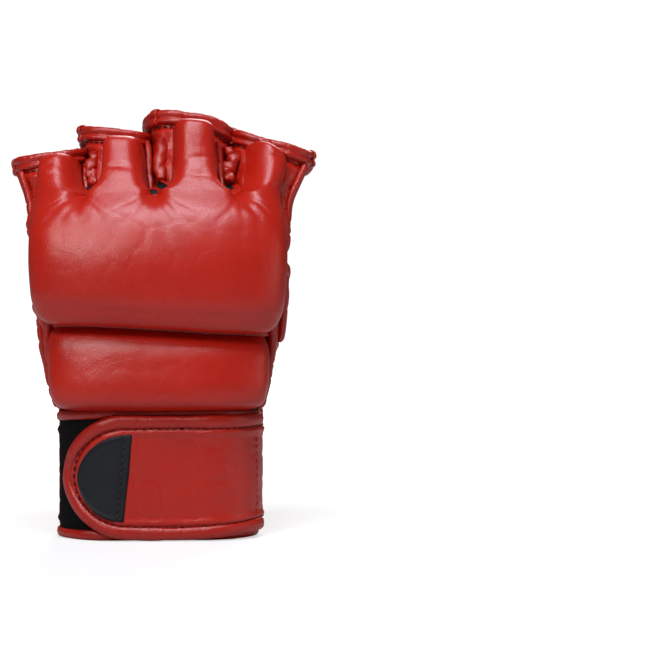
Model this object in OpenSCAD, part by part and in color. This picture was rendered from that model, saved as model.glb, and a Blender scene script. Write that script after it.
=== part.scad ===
// Open-palm sparring glove for the left hand, standing on its wrist cuff.
// +Z runs from the cuff mouth towards the fingertips, -Y faces the padded back of the hand,
// +X is the thumb side. The origin is the centre of the cuff mouth. All sizes are millimetres.
//
// Every panel is a sheet of leather, lining or foam laid on the hand's own surface. A place on
// that surface is an angle u round the hand (0 thumb side, 90 back, 180 little finger side,
// 270 palm), a length t along the curling middle line, and a height d above the surface.

/* [Cuff] */
// Height of the wrist cuff on the back of the hand
cuff_h = 63; // [58:1:68]
// How much lower the cuff's palm side is
cuff_drop = 6; // [0:0.5:7]
// Half length of the flat front and back of the cuff
cuff_flat = 21; // [19:0.5:23]
// Inner radius of the cuff's round sides
cuff_r = 22; // [21:0.5:23]
// Height of the bound edge at the top and bottom of the cuff and strap
edge_h = 7; // [4:0.5:8]

/* [Hand] */
// Half width of the hand just above the cuff
wrist_half = 46.5; // [44:0.5:48]
// Half depth of the hand just above the cuff
wrist_depth = 21; // [20:0.5:22]
// Half width of the hand across the knuckles
knuckle_half = 58; // [56:0.5:60]
// Height where the hand starts to curl towards the palm
curl_start = 110; // [100:1:115]
// Radius of that curl
curl_r = 160; // [150:1:180]
// Distance along the middle line to the gaps between the finger pads
slit_t = 158; // [155:1:160]

/* [Padding] */
// Foam thickness over the knuckles
knuckle_foam_h = 20; // [14:0.5:24]
// Foam thickness over the back of the hand
backhand_foam_h = 12; // [8:0.5:16]
// Foam thickness over each finger
lobe_foam_h = 9; // [6:0.5:11]
// Foam thickness of the thumb pad
thumb_foam_h = 5; // [3:0.5:7]

/* [Material] */
// Leather thickness
leather = 1.2; // [0.9:0.1:1.4]
// Lining thickness
lining = 0.8; // [0.5:0.1:1]
// Gap left between layers
gap = 0.35; // [0.3:0.05:0.5]

/* [Hidden] */

RED = "firebrick";
DARK_RED = "darkred";
BLACK = "#1c1c1e";
FOAM = "#4a4a4e";

// Exponent that makes the oval sections squarish
boxy = 0.77;
// Bottom of the hand's panels, just above the cuff, at the back and at angle u
hand_base = cuff_h + 1.5;
function base_t(u) = hand_base - cuff_drop / 2 * (1 - 0.8 * signed_pow(sin(u), boxy));
// Distance along the middle line of the crease between the two back pads, and half its width
crease_t = 100;
crease_half = 1;
// Top of the fixed back of the hand, just under the gaps between the fingers
hand_top = slit_t - 1;
// Distances where the hand is widest and where the fingers leave it
knuckle_t = 150;
finger_t = 180;

// Fingers: centre and half width at the base and at the rim, half depth at the base and at the
// rim, then the rim's place along the middle line at the back and at the palm, and how much
// higher its thumb side is than its middle
FINGERS = [
    ["pinky", -49, 13.5, -53.3, 14.7, 11, 11, 183, 184, 4],
    ["ring", -18.6, 14.0, -21.8, 14.2, 12, 11, 195, 196, -2],
    ["middle", 15.2, 16.0, 14.6, 19.2, 13, 17, 201, 190, -2],
    ["index", 48.6, 13.5, 55.0, 18.6, 12, 12, 189, 190, -6],
];

// ---------- the hand's surface ----------

function mix(a, b, s) = a + (b - a) * s;
function signed_pow(v, p) = sign(v) * pow(abs(v), p);
function curl(t) = max(0, t - curl_start) / curl_r * 180 / PI;
function spine(t) = t < curl_start
    ? [0, 0, t]
    : [0, curl_r * (1 - cos(curl(t))), curl_start + curl_r * sin(curl(t))];
function back_way(t) = [0, -cos(curl(t)), sin(curl(t))];

function hand_half(t) = lookup(t, [
    [cuff_h, wrist_half],
    [crease_t, mix(wrist_half, knuckle_half, 0.65)],
    [knuckle_t, knuckle_half],
    [finger_t, knuckle_half + 2]]);
function back_depth(t) = lookup(t, [
    [crease_t, wrist_depth],
    [knuckle_t, wrist_depth - 2],
    [finger_t, wrist_depth - 6]]);
function palm_depth(t) = lookup(t, [
    [cuff_h, wrist_depth],
    [crease_t, wrist_depth + 2],
    [knuckle_t - 15, wrist_depth + 4]]);

// Point d above the hand's surface, at angle u and distance t
function skin(u, t, d) =
    spine(t)
    + [(hand_half(t) + d) * signed_pow(cos(u), boxy), 0, 0]
    + back_way(t) * ((sin(u) > 0 ? back_depth(t) : palm_depth(t)) + d) * signed_pow(sin(u), boxy);

// Angles where the palm's panels end at the two sides of the hand
thumb_side_u = 357;
little_side_u = 183;
// Angle on the palm side at width x
function palm_u(x, t) = max(little_side_u, min(thumb_side_u,
    360 - acos(signed_pow(max(-1, min(1, x / hand_half(t))), 1 / boxy))));

// ---------- solids from grids of points ----------

function grid_id(i, j, m, n) = (i % m) * n + j;

// Closed solid between an outer and an inner grid. With wrap, the first direction closes on itself.
module shell(outer, inner, wrap = false) {
    m = len(outer);
    n = len(outer[0]);
    low = m * n;
    cells = wrap ? m - 1 : m - 2;
    polyhedron(
        concat([for (row = outer) each row], [for (row = inner) each row]),
        [
            for (i = [0 : cells], j = [0 : n - 2])
                let (a = grid_id(i, j, m, n), b = grid_id(i + 1, j, m, n), c = b + 1, e = a + 1)
                each [[a, b, c], [a, c, e], [low + a, low + c, low + b], [low + a, low + e, low + c]],
            for (i = [0 : cells])
                let (a = grid_id(i, 0, m, n), b = grid_id(i + 1, 0, m, n),
                     c = a + n - 1, e = b + n - 1)
                each [[a, low + b, b], [a, low + a, low + b], [c, e, low + e], [c, low + e, low + c]],
            if (!wrap)
                for (j = [0 : n - 2])
                    let (a = grid_id(0, j, m, n), b = a + 1,
                         c = grid_id(m - 1, j, m, n), e = c + 1)
                    each [[a, b, low + b], [a, low + b, low + a], [c, low + e, e], [c, low + c, low + e]],
        ]);
}

// Sheet on the hand. place(s, v) gives [u, t] for s and v from 0 to 1, bottom(s, v) and
// top(s, v) give its two heights.
module sheet(place, bottom, top, ns, nv) {
    side = function (height) [for (i = [0 : ns]) [for (j = [0 : nv])
        let (s = i / ns, v = j / nv, p = place(s, v)) skin(p[0], p[1], height(s, v))]];
    shell(side(top), side(bottom));
}

// Sheet of even thickness between the angles u0 and u1 and the distances t0 and t1
module plain_sheet(u0, u1, t0, t1, d0, d1, ns, nv) {
    sheet(function (s, v) [mix(u0, u1, s), mix(t0, t1, v)],
          function (s, v) d0, function (s, v) d1, ns, nv);
}

// Sheet on the palm between the widths x0 and x1 and the curves low(x) and high(x)
module palm_sheet(x0, x1, low, high, d0, d1, ns, nv) {
    sheet(function (s, v) let (x = mix(x0, x1, s), t = mix(low(x), high(x), v)) [palm_u(x, t), t],
          function (s, v) d0, function (s, v) d1, ns, nv);
}

// ---------- back of the hand ----------

// Angle of each pad's thumb side edge, and the height where the pads lie on the lining
backhand_u = 20;
knuckle_u = 31;
pad_d = lining + gap;
pad_steps = 16;
pad_rows = 8;
// How far a foam core stays inside its cover's edges
core_inset = 2;

// Steps from 0 to 1 that are shorter near both ends
function eased(q) = (1 - cos(180 * q)) / 2;
// Thickness share of a pad at the share q of its width or height
function crown(q, power) = 0.25 + 0.75 * sqrt(1 - pow(abs(2 * q - 1), power));
function pad_height(s, v, foam) = foam * crown(s, 4) * crown(eased(v), 5);

module pad_foam(u0, t0, t1, foam) {
    color(FOAM) sheet(
        function (s, v) [mix(u0 + core_inset, 180 - u0 - core_inset, s),
                         mix(t0 + core_inset, t1 - core_inset, eased(v))],
        function (s, v) pad_d,
        function (s, v) pad_d + pad_height(s, v, foam),
        pad_steps, pad_rows);
}

module pad_cover(u0, t0, t1, foam) {
    color(RED) sheet(
        function (s, v) [mix(u0, 180 - u0, s), mix(t0, t1, eased(v))],
        function (s, v) pad_d + gap + pad_height(s, v, foam),
        function (s, v) pad_d + gap + leather + pad_height(s, v, foam),
        pad_steps, pad_rows);
}

module crease_welt() {
    half = crease_half - gap;
    color(DARK_RED) plain_sheet(knuckle_u, 180 - knuckle_u, crease_t - half, crease_t + half,
                                pad_d, pad_d + piping_h, pad_steps, 1);
}

module hand_lining() {
    color(BLACK) sheet(
        function (s, v)
            let (u = mix(gusset_u, 180 - gusset_u, s)) [u, mix(base_t(u), hand_top, v)],
        function (s, v) 0, function (s, v) lining, 20, 6);
}

// Angle at the edge of the pads, seen from the thumb side
function pad_edge(t) = lookup(t, [[crease_t + 0.5, backhand_u], [crease_t + 4, knuckle_u]]);
// Angle of the gusset's palm side edge, and the width in degrees of the piping beside the pads
gusset_u = -1.5;
piping_u = 3.4;
// Angle left free on each side of the piping
side_gap_u = 1.3;
// Bottom of the sides, which stay above the strap
side_base = hand_base - 1.2;

// Sheet along one side of the hand between two angles from the thumb side, which side = -1
// mirrors to the little finger side
module side_sheet(side, low_u, high_u, d0, d1, ns) {
    sheet(function (s, v)
              let (t = mix(side_base, hand_top, v), u = mix(low_u(t), high_u(t), s))
              [side > 0 ? u : 180 - u, t],
          function (s, v) side > 0 ? d0 : d1, function (s, v) side > 0 ? d1 : d0, ns, 28);
}

piping_h = 3;

module gusset(side) {
    color(RED) side_sheet(side, function (t) gusset_u,
                          function (t) pad_edge(t) - piping_u - 2 * side_gap_u,
                          pad_d, pad_d + leather, 4);
}

module piping(side) {
    color(DARK_RED) side_sheet(side, function (t) pad_edge(t) - piping_u - side_gap_u,
                               function (t) pad_edge(t) - side_gap_u,
                               pad_d, pad_d + piping_h, 1);
}

// ---------- palm ----------

// Height of the palm's panels above the hand, and the height of their bound edges
palm_d = 0.4;
palm_binding_h = palm_d + 2 * leather;
palm_x = knuckle_half - 1;
binding_w = 5;
// Angle at the thumb hole's palm side edge, and the top of the binding along it
hole_u = 350;
hole_top = 126;

// The band across the palm: its top edge dips to the sides of the two middle fingers, and its
// bottom edge is a bow that drops further on the thumb side
band_top_t = 171;
band_dip = 11;
band_dip_x = 43;
band_bottom_t = 152;
little_bow = 0.0036;
thumb_bow = 0.0064;
function band_top(x) = band_top_t - band_dip * min(1, pow(x / band_dip_x, 2));
function band_bottom(x) = band_bottom_t - (x < 0 ? little_bow : thumb_bow) * x * x;

// Upper edge of the panel across the heel of the hand, which falls towards the thumb
heel_top_t = 75.8;
heel_fall = 0.398;
heel_bow = 0.002;
function heel_top(x) = heel_top_t - heel_fall * x + heel_bow * x * x;
// Lower edge of the palm's panels at width x
function palm_base(x) = base_t(palm_u(x, cuff_h));

// Line that the thumb flap folds along, which rises towards the thumb, and the gap on each side
fold_low_t = 78;
fold_rise = 0.415;
fold_x = -3;
fold_gap = 2;
function fold_t(x) = fold_low_t + fold_rise * (x - fold_x);

// Palm sheet from one side of the hand to the other
module palm_wrap(low, high, d0, d1, ns, nv) {
    sheet(function (s, v)
              let (u = mix(little_side_u, thumb_side_u, s), x = palm_x * signed_pow(cos(u), boxy))
              [u, mix(low(x), high(x), v)],
          function (s, v) d0, function (s, v) d1, ns, nv);
}

module palm_band() {
    color(RED) palm_wrap(function (x) band_bottom(x) + binding_w + gap,
                         function (x) band_top(x) - binding_w - gap,
                         palm_d, palm_d + leather, 20, 2);
}

module palm_band_top_binding() {
    color(DARK_RED) palm_wrap(function (x) band_top(x) - binding_w,
                              function (x) band_top(x),
                              0, palm_binding_h, 20, 1);
}

module palm_band_bottom_binding() {
    color(DARK_RED) palm_wrap(function (x) band_bottom(x),
                              function (x) band_bottom(x) + binding_w,
                              0, palm_binding_h, 20, 1);
}

// Strip that joins the heel panel to the palm band along the little finger side
strip_u = 20;
strip_low = 105;
strip_high = 136;

module palm_side_strip() {
    color(RED) plain_sheet(little_side_u, little_side_u + strip_u, strip_low, strip_high,
                           palm_d, palm_d + leather, 4, 3);
}

heel_x0 = -51;
heel_x1 = 34;
heel_d = palm_d + leather + gap;
// The stitched patch low on the heel: its sides, its height at the little finger side and its slope
patch_x0 = -30;
patch_x1 = 12;
patch_h = 7.5;
patch_fall = 0.15;

module heel_panel() {
    color(RED) palm_sheet(heel_x0, heel_x1,
                          function (x) min(palm_base(x), heel_top(x) - binding_w - 2 * gap),
                          function (x) heel_top(x) - binding_w - gap,
                          heel_d, heel_d + leather, 14, 3);
}

module heel_binding() {
    color(DARK_RED) palm_sheet(heel_x0, heel_x1,
                               function (x) heel_top(x) - binding_w,
                               function (x) heel_top(x),
                               heel_d, heel_d + 2 * leather, 14, 1);
}

module heel_patch() {
    color(RED) palm_sheet(patch_x0, patch_x1,
                          function (x) palm_base(x),
                          function (x) palm_base(x) + patch_h - patch_fall * (x - patch_x0),
                          heel_d + leather + gap, heel_d + 2 * leather + gap, 6, 1);
}

module thumb_panel() {
    u0 = palm_u(fold_x + 1, fold_low_t);
    half = hand_half(crease_t);
    color(RED) sheet(
        function (s, v)
            let (u = mix(u0, hole_u - 1, s), x = half * signed_pow(cos(u), boxy))
            [u, mix(base_t(u), fold_t(x) - fold_gap, v)],
        function (s, v) palm_d, function (s, v) palm_d + leather, 12, 3);
}

module thumb_hole_binding() {
    color(DARK_RED) plain_sheet(hole_u, thumb_side_u, base_t(hole_u), hole_top,
                                0, palm_binding_h, 1, 8);
}

// ---------- thumb flap ----------

flap_d = palm_d + 0.2;
flap_rim = 4.5;
// Corners of the flap as [x, t]: little finger side and thumb side of its fold, then of its tip
flap_low_x = [-1, 50];
flap_tip = [[3, 131], [29, 133]];
// How far the little finger side edge bulges, and how far the tip rises between its corners
flap_bulge = 8;
flap_rise = 5;

// Outline of the flap: left and right edges at the share v of its height, each as [x, t]
function flap_left(v, inset) = [
    mix(flap_low_x[0], flap_tip[0][0], v) - flap_bulge * sin(150 * v) + inset,
    mix(fold_t(flap_low_x[0]) + fold_gap, flap_tip[0][1] - inset, v)];
function flap_right(v, inset) = [
    mix(flap_low_x[1], flap_tip[1][0], pow(v, 0.8)) - inset,
    mix(fold_t(flap_low_x[1]) + fold_gap, flap_tip[1][1] - inset, v)];
function flap_place(s, v, inset) =
    let (l = flap_left(v, inset), r = flap_right(v, inset),
         x = mix(l[0], r[0], s), t = mix(l[1], r[1], s) + flap_rise * v * v * sin(180 * s))
    [palm_u(x, t), t];

module flap_sheet(inset, d0, d1) {
    sheet(function (s, v) flap_place(s, v, inset),
          function (s, v) d0, function (s, v) d1, 12, 8);
}

module thumb_flap() {
    color(RED) flap_sheet(flap_rim, flap_d + lining + gap, flap_d + lining + gap + leather);
}

module thumb_flap_lining() {
    color(BLACK) flap_sheet(flap_rim, flap_d, flap_d + lining);
}

// Bound edge: a strip up the left side, over the tip and down the right side
module thumb_flap_binding() {
    rim = function (q, inset)
        q < 1 ? flap_place(0, q, inset) : q < 2 ? flap_place(q - 1, 1, inset)
                                                : flap_place(1, 3 - q, inset);
    side = function (d) [for (i = [0 : 30]) [for (inset = [flap_rim - gap, 0])
        let (p = rim(i / 10, inset)) skin(p[0], p[1], d)]];
    color(DARK_RED) shell(side(flap_d + 2.2 * leather + gap + lining), side(flap_d));
}

// Closed solid between two discs of rings, each list running from the rim to the centre
module disc_shell(outer, inner) {
    m = len(outer);
    n = len(outer[0]);
    low = m * n;
    polyhedron(
        concat([for (row = outer) each row], [for (row = inner) each row]),
        [
            for (i = [0 : m - 1], j = [0 : n - 2])
                let (a = grid_id(i, j, m, n), b = grid_id(i + 1, j, m, n), c = b + 1, e = a + 1)
                each [[a, b, c], [a, c, e], [low + a, low + c, low + b], [low + a, low + e, low + c]],
            for (i = [0 : m - 1])
                let (a = grid_id(i, 0, m, n), b = grid_id(i + 1, 0, m, n))
                each [[a, low + b, b], [a, low + a, low + b]],
            for (i = [1 : m - 2])
                let (a = n - 1, b = grid_id(i, n - 1, m, n), c = grid_id(i + 1, n - 1, m, n))
                each [[a, b, c], [low + a, low + c, low + b]],
        ]);
}

// Thumb pad: a drop-shaped pad on the flap, made of rings that are shares of its outline
pad_centre = [16, 109];
pad_r = 20;
pad_base_d = flap_d + lining + leather + 2 * gap;
RING_SHARES = [1, 0.85, 0.5, 0.02];
RING_HEIGHTS = [0.4, 0.75, 0.95, 1];

function drop_r(a) = pad_r + 2.2 * cos(2 * (a - 80)) + 0.8 * cos(3 * a);
function drop(a, share) = let (
    x = pad_centre[0] + share * drop_r(a) * cos(a) * 0.93,
    t = pad_centre[1] + share * drop_r(a) * sin(a)) [palm_u(x, t), t];
// Disc of the share size of the pad, at the height base, swollen by rise in the middle
function drop_disc(size, base, rise) = [for (a = [0 : 15 : 345]) [for (k = [0 : 3])
    let (p = drop(a, RING_SHARES[k] * size)) skin(p[0], p[1], base + rise * RING_HEIGHTS[k])]];

module thumb_pad_foam() {
    color(FOAM) disc_shell(drop_disc(0.93, pad_base_d, thumb_foam_h),
                           drop_disc(0.93, pad_base_d, 0));
}

module thumb_pad_cover() {
    color(RED) disc_shell(drop_disc(1, pad_base_d + gap + leather, thumb_foam_h),
                          drop_disc(1, pad_base_d + gap, thumb_foam_h));
}

// ---------- fingers ----------

// Distance of a finger's rim at angle u
function rim_t(f, u) = mix(f[8], f[7], (sin(u) + 1) / 2) + f[9] * cos(u);
// Share of the finger's length at distance t
function finger_share(f, t) = (t - slit_t) / (f[7] - slit_t);
function finger_point(f, u, t, d) =
    let (s = finger_share(f, t))
    spine(t)
    + [mix(f[1], f[3], s) + (mix(f[2], f[4], s) + d) * signed_pow(cos(u), boxy), 0, 0]
    + back_way(t) * (mix(f[5], f[6], s) + d) * signed_pow(sin(u), boxy);

// Height of the rolled hem at a finger's rim, and where the sleeve starts at the back and palm
hem_h = 5;
finger_low_back = slit_t + 5;
finger_low_palm = slit_t + 18;
function finger_low(u) = mix(finger_low_back, finger_low_palm, pow(max(0, -sin(u)), 2));

// Tube round the finger from its open base to below its rim, d0 to d1 above its leather's outside
module finger_tube(f, low_lift, top_drop, d0, d1, nv) {
    side = function (d) [for (u = [0 : 15 : 345]) [for (j = [0 : nv])
        finger_point(f, u, mix(finger_low(u) + low_lift, rim_t(f, u) - top_drop, j / nv), d)]];
    shell(side(d1), side(d0), true);
}

module finger_sleeve(f) {
    color(RED) finger_tube(f, 0, hem_h + gap, -leather, 0, 4);
}

module finger_lining(f) {
    color(BLACK) finger_tube(f, 1, 1, -leather - gap - lining, -leather - gap, 4);
}

module finger_hem(f) {
    side = function (d) [for (u = [0 : 15 : 345]) [for (below = [hem_h, 0])
        finger_point(f, u, rim_t(f, u) - below, d)]];
    color(DARK_RED) shell(side(1), side(-leather), true);
}

// Pad on the back of a finger: the angle of its edge at its base and at its top, where it starts,
// and the share of its length that stays full at the base
lobe_low_u = 50;
lobe_high_u = 60;
lobe_base = slit_t + 3;
lobe_full = 0.42;

// Grid of points over a lobe, drawn smaller by inset degrees, at the height base, swollen by rise
function lobe_grid(f, inset, base, rise) = [for (i = [0 : 8]) [for (j = [0 : 5])
    let (s = i / 8, v = j / 5, u0 = mix(lobe_low_u, lobe_high_u, v) + inset,
         u = mix(u0, 180 - u0, s),
         t = mix(lobe_base + inset / 4, rim_t(f, u) - hem_h - 1 - inset / 4, v))
    finger_point(f, u, t, base + rise * crown(s, 4) * crown(mix(lobe_full, 1, v), 8))]];

module finger_lobe_foam(f) {
    color(FOAM) shell(lobe_grid(f, 4, gap, lobe_foam_h), lobe_grid(f, 4, gap, 0));
}

module finger_lobe_cover(f) {
    color(RED) shell(lobe_grid(f, 0, 2 * gap + leather, lobe_foam_h),
                     lobe_grid(f, 0, 2 * gap, lobe_foam_h));
}

// ---------- cuff ----------

// Cuff layers, as heights above the cuff's inside: lining, elastic, leather
elastic_h = 1.6;
cuff_elastic_d = lining + gap;
cuff_band_d = cuff_elastic_d + elastic_h + gap;
cuff_outer_d = cuff_band_d + leather;

module stadium(d) {
    square([2 * cuff_flat, 2 * (cuff_r + d)], center = true);
    for (side = [-1, 1]) translate([side * cuff_flat, 0]) circle(cuff_r + d, $fn = 96);
}

module cuff_ring(d0, d1, z0, z1) {
    translate([0, 0, z0]) linear_extrude(z1 - z0) difference() {
        stadium(d1);
        stadium(d0);
    }
}

// Larger than the cuff in every direction
reach = 120;

// Block holding the part of the cuff from the line y = y1 towards the palm
module palm_side_of(y1) {
    translate([-reach, y1, -reach]) cube([2 * reach, reach, 2 * reach]);
}

// Everything below the cuff's slanted top edge, moved up by lift
module under_top(lift) {
    half = cuff_r + cuff_outer_d;
    translate([0, -half, cuff_h + lift])
        rotate([-atan(cuff_drop / (2 * half)), 0, 0])
            translate([-reach, -reach, -2 * reach])
                cube([2 * reach, 3 * reach, 2 * reach]);
}

// Cuff layer between the two bound edges
module cuff_layer(d0, d1) {
    intersection() {
        cuff_ring(d0, d1, edge_h + gap, cuff_h);
        under_top(-edge_h - gap);
    }
}

module cuff_lining() {
    color(BLACK) cuff_layer(0, lining);
}

module cuff_elastic() {
    color(BLACK) cuff_layer(cuff_elastic_d, cuff_elastic_d + elastic_h);
}

// Where the leather band ends on the back of the cuff, and the loop panel starts
band_end_y = -14;

module cuff_band() {
    color(RED) intersection() {
        cuff_layer(cuff_band_d, cuff_outer_d);
        palm_side_of(band_end_y);
    }
}

module cuff_loop_panel() {
    color(BLACK) difference() {
        cuff_layer(cuff_band_d, cuff_outer_d);
        palm_side_of(band_end_y - gap);
    }
}

module cuff_top_binding() {
    color(DARK_RED) difference() {
        intersection() {
            cuff_ring(0, cuff_outer_d, edge_h, cuff_h + 1);
            under_top(0);
        }
        under_top(-edge_h);
    }
}

module cuff_bottom_binding() {
    color(DARK_RED) cuff_ring(0, cuff_outer_d, 0, edge_h);
}

// ---------- strap ----------

// Strap layers, as heights above the cuff's inside: backing or hooks, then the face
backing_h = 1.6;
strap_d = cuff_outer_d + 2 * gap;
strap_face_d = strap_d + backing_h + gap;
strap_outer_d = strap_d + 3.2;
strap_face_outer_d = strap_outer_d - 0.4;
strap_z0 = 0.8;
strap_z1 = cuff_h - 0.8;
// The strap's root is sewn to the cuff's thumb side at this angle. Its hinge is on the middle of
// the strap's thickness there.
strap_root_angle = 24;
strap_mid_r = cuff_r + (strap_d + strap_outer_d) / 2;
hinge_y = -strap_mid_r * sin(strap_root_angle);
// The strap's tip starts at this width and ends at the next, with a gap where it bends
strap_split_x = -10;
strap_tip_x = -47;
strap_gap = 1;
// Width of the rolled rim round the tip
tip_rim = 8.5;
tip_end_y = -12;
// Top end of the tip's black panel, and how far its straight end leans
panel_end_x = -12.5;
panel_lean = 6;

// Block that holds the swinging part of the strap
module strap_zone() {
    translate([strap_split_x + strap_gap, -reach, -reach]) cube([reach, reach + hinge_y, 2 * reach]);
}

// Flat outline of the strap's tip in X and Z, drawn smaller by inset all round its free edge.
// Its straight end leans by lean from the vertical.
module tip_zone(inset, end_x, lean = 0) {
    mid = (strap_z0 + strap_z1) / 2;
    half = (strap_z1 - strap_z0) / 2 - inset;
    centre = strap_tip_x + (strap_z1 - strap_z0) / 2;
    rotate([90, 0, 0]) linear_extrude(reach) intersection() {
        union() {
            translate([centre, mid]) circle(half, $fn = 96);
            translate([centre, mid - half]) square([reach, 2 * half]);
        }
        polygon([[-reach, strap_z0 - 1], [end_x - lean, strap_z0 - 1],
                 [end_x, strap_z1 + 1], [-reach, strap_z1 + 1]]);
    }
}

// Front slab, which keeps the strap's tip clear of the palm side
module front_of(y1) {
    translate([-reach, -reach, -reach]) cube([2 * reach, reach + y1, 2 * reach]);
}

module strap_layer(d0, d1, z0, z1) {
    intersection() {
        cuff_ring(d0, d1, z0, z1);
        strap_zone();
    }
}

module tip_layer(d0, d1, inset, end_x, lean = 0) {
    intersection() {
        cuff_ring(d0, d1, strap_z0, strap_z1);
        front_of(tip_end_y);
        tip_zone(inset, end_x, lean);
    }
}

module strap_panel() {
    color(RED) strap_layer(strap_face_d, strap_face_outer_d,
                           strap_z0 + edge_h + gap, strap_z1 - edge_h - gap);
}

module strap_backing() {
    color(BLACK) strap_layer(strap_d, strap_d + backing_h,
                             strap_z0 + edge_h + gap, strap_z1 - edge_h - gap);
}

module strap_binding() {
    color(DARK_RED) for (z = [strap_z0, strap_z1 - edge_h])
        strap_layer(strap_d, strap_outer_d, z, z + edge_h);
}

module strap_tip_panel() {
    color(BLACK) tip_layer(strap_face_d, strap_face_outer_d, tip_rim + gap,
                           panel_end_x, panel_lean);
}

module strap_tip_edge() {
    color(RED) difference() {
        tip_layer(strap_face_d, strap_face_outer_d, tip_rim + gap, strap_split_x);
        tip_zone(0, panel_end_x + gap, panel_lean);
    }
}

module strap_hook_panel() {
    color(BLACK) tip_layer(strap_d, strap_d + backing_h, tip_rim + gap, strap_split_x);
}

module strap_tip_binding() {
    color(DARK_RED) difference() {
        tip_layer(strap_d, strap_outer_d, 0, strap_split_x);
        tip_zone(tip_rim, strap_split_x + 1);
    }
}

// ---------- nodes ----------

pad_foam(knuckle_u, crease_t + 1, hand_top, knuckle_foam_h);  // knuckle_foam
pad_cover(knuckle_u, crease_t + 1, hand_top, knuckle_foam_h);  // knuckle_cover
pad_foam(backhand_u, cuff_h + 1.5, crease_t - 1, backhand_foam_h);  // backhand_foam
pad_cover(backhand_u, cuff_h + 1.5, crease_t - 1, backhand_foam_h);  // backhand_cover
crease_welt();
hand_lining();
gusset(-1);  // ulnar_gusset
gusset(1);  // radial_gusset
piping(-1);  // ulnar_piping
piping(1);  // radial_piping
palm_band();
palm_band_top_binding();
palm_band_bottom_binding();
palm_side_strip();
heel_panel();
heel_binding();
heel_patch();
thumb_panel();
thumb_hole_binding();
cuff_lining();
cuff_elastic();
cuff_band();
cuff_top_binding();
cuff_bottom_binding();
cuff_loop_panel();
strap_panel();
strap_backing();
strap_binding();
strap_tip_panel();
strap_tip_edge();
strap_hook_panel();
strap_tip_binding();
thumb_flap();
thumb_flap_binding();
thumb_flap_lining();
thumb_pad_foam();
thumb_pad_cover();
for (f = FINGERS) {
    finger_sleeve(f);
    finger_lining(f);
    finger_hem(f);
    finger_lobe_foam(f);
    finger_lobe_cover(f);
}
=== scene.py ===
"""Looks of the open-palm sparring glove: leather, padding, lining, stitching, light and camera."""

import math
from collections import namedtuple

import bmesh
import bpy
import numpy as np
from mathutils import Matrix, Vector


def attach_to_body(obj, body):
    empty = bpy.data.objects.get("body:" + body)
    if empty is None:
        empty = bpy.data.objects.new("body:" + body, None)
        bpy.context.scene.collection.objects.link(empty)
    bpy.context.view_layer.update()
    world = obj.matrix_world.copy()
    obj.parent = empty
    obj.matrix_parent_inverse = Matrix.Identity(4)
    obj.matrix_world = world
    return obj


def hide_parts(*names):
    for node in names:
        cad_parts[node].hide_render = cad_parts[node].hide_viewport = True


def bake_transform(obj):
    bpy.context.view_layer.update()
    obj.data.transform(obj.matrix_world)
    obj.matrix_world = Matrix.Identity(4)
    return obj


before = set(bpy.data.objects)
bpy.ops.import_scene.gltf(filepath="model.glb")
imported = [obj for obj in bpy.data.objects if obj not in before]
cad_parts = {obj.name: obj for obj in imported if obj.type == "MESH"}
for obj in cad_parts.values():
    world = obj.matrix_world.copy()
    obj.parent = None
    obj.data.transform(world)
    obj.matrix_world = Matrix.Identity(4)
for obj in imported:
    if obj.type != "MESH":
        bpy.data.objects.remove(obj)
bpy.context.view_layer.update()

# ---------- measures in millimetres, the same as in the CAD source ----------

MM = 0.001
# The cuff's height, how much lower it is on the palm side, half the straight part and the radius of
# its oval, and its thickness
CUFF_H = 63.0
CUFF_DROP = 6.0
CUFF_FLAT = 21.0
CUFF_R = 22.0
CUFF_OUT = 4.3
# Half width and half depth of the hand at the wrist, half width at the knuckles, and the shape of its
# section: an ellipse at 1, a box at 0
WRIST_HALF = 46.5
WRIST_DEPTH = 21.0
KNUCKLE_HALF = 58.0
BOXY = 0.77
# Where the hand starts to curl forwards, its radius, and the height of the pads' foot. Distances t
# run up the hand from the cuff's bottom, and heights d run out from its surface
CURL_START = 110.0
CURL_R = 160.0
PAD_D = 1.15
# Where the crease between the pads, the gaps between the lobes and the finger stalls start
CREASE_T = 100.0
SLIT_T = 160.0
STALL_T = 158.0
# How much a stall's rim rises at its two sides, as a share of its depth
RIM_CORNER = 0.36

# A stall's middle, half width and half depth at its base and at its rim, how far up the rim lies on
# the back and on the palm side, and how much higher its thumb side is
Finger = namedtuple("Finger", "base_x base_half rim_x rim_half base_depth rim_depth rim_back rim_palm tilt")
FINGERS = {
    "pinky": Finger(-49, 13.5, -53.3, 14.7, 11, 11, 183, 183, 2.5),
    "ring": Finger(-18.6, 14.0, -21.8, 14.2, 12, 11, 195, 195, -2),
    "middle": Finger(15.2, 16.0, 14.6, 19.2, 13, 17, 200.5, 190, -3.6),
    "index": Finger(48.6, 13.5, 55.0, 18.6, 12, 12, 189, 190, -6),
}
LOBE_ORDER = list(FINGERS)


# ---------- numbers ----------


def mix(a, b, s):
    """From a to b as s goes from 0 to 1."""
    return a + (b - a) * s


def smooth(x, a, b):
    """Rises from 0 to 1 as x goes from a to b, level at both ends."""
    q = np.clip((x - a) / (b - a), 0, 1)
    return q * q * (3 - 2 * q)


def swell(q):
    """Rises from 0 to 1 steeply at first, then levels off without a visible edge."""
    q = np.clip(q, 0, 1)
    return np.sqrt(1 - (1 - q) ** 3)


def curve(x, xs, ys):
    """Smooth line through the points (xs, ys)."""
    xs, ys = np.asarray(xs, float), np.asarray(ys, float)
    x = np.clip(x, xs[0], xs[-1])
    slope = np.gradient(ys, xs)
    i = np.clip(np.searchsorted(xs, x) - 1, 0, len(xs) - 2)
    h = xs[i + 1] - xs[i]
    q = (x - xs[i]) / h
    flat = (1 + 2 * q) * (1 - q) ** 2 * ys[i] + q * q * (3 - 2 * q) * ys[i + 1]
    return flat + h * q * (1 - q) ** 2 * slope[i] + h * q * q * (q - 1) * slope[i + 1]


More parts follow.
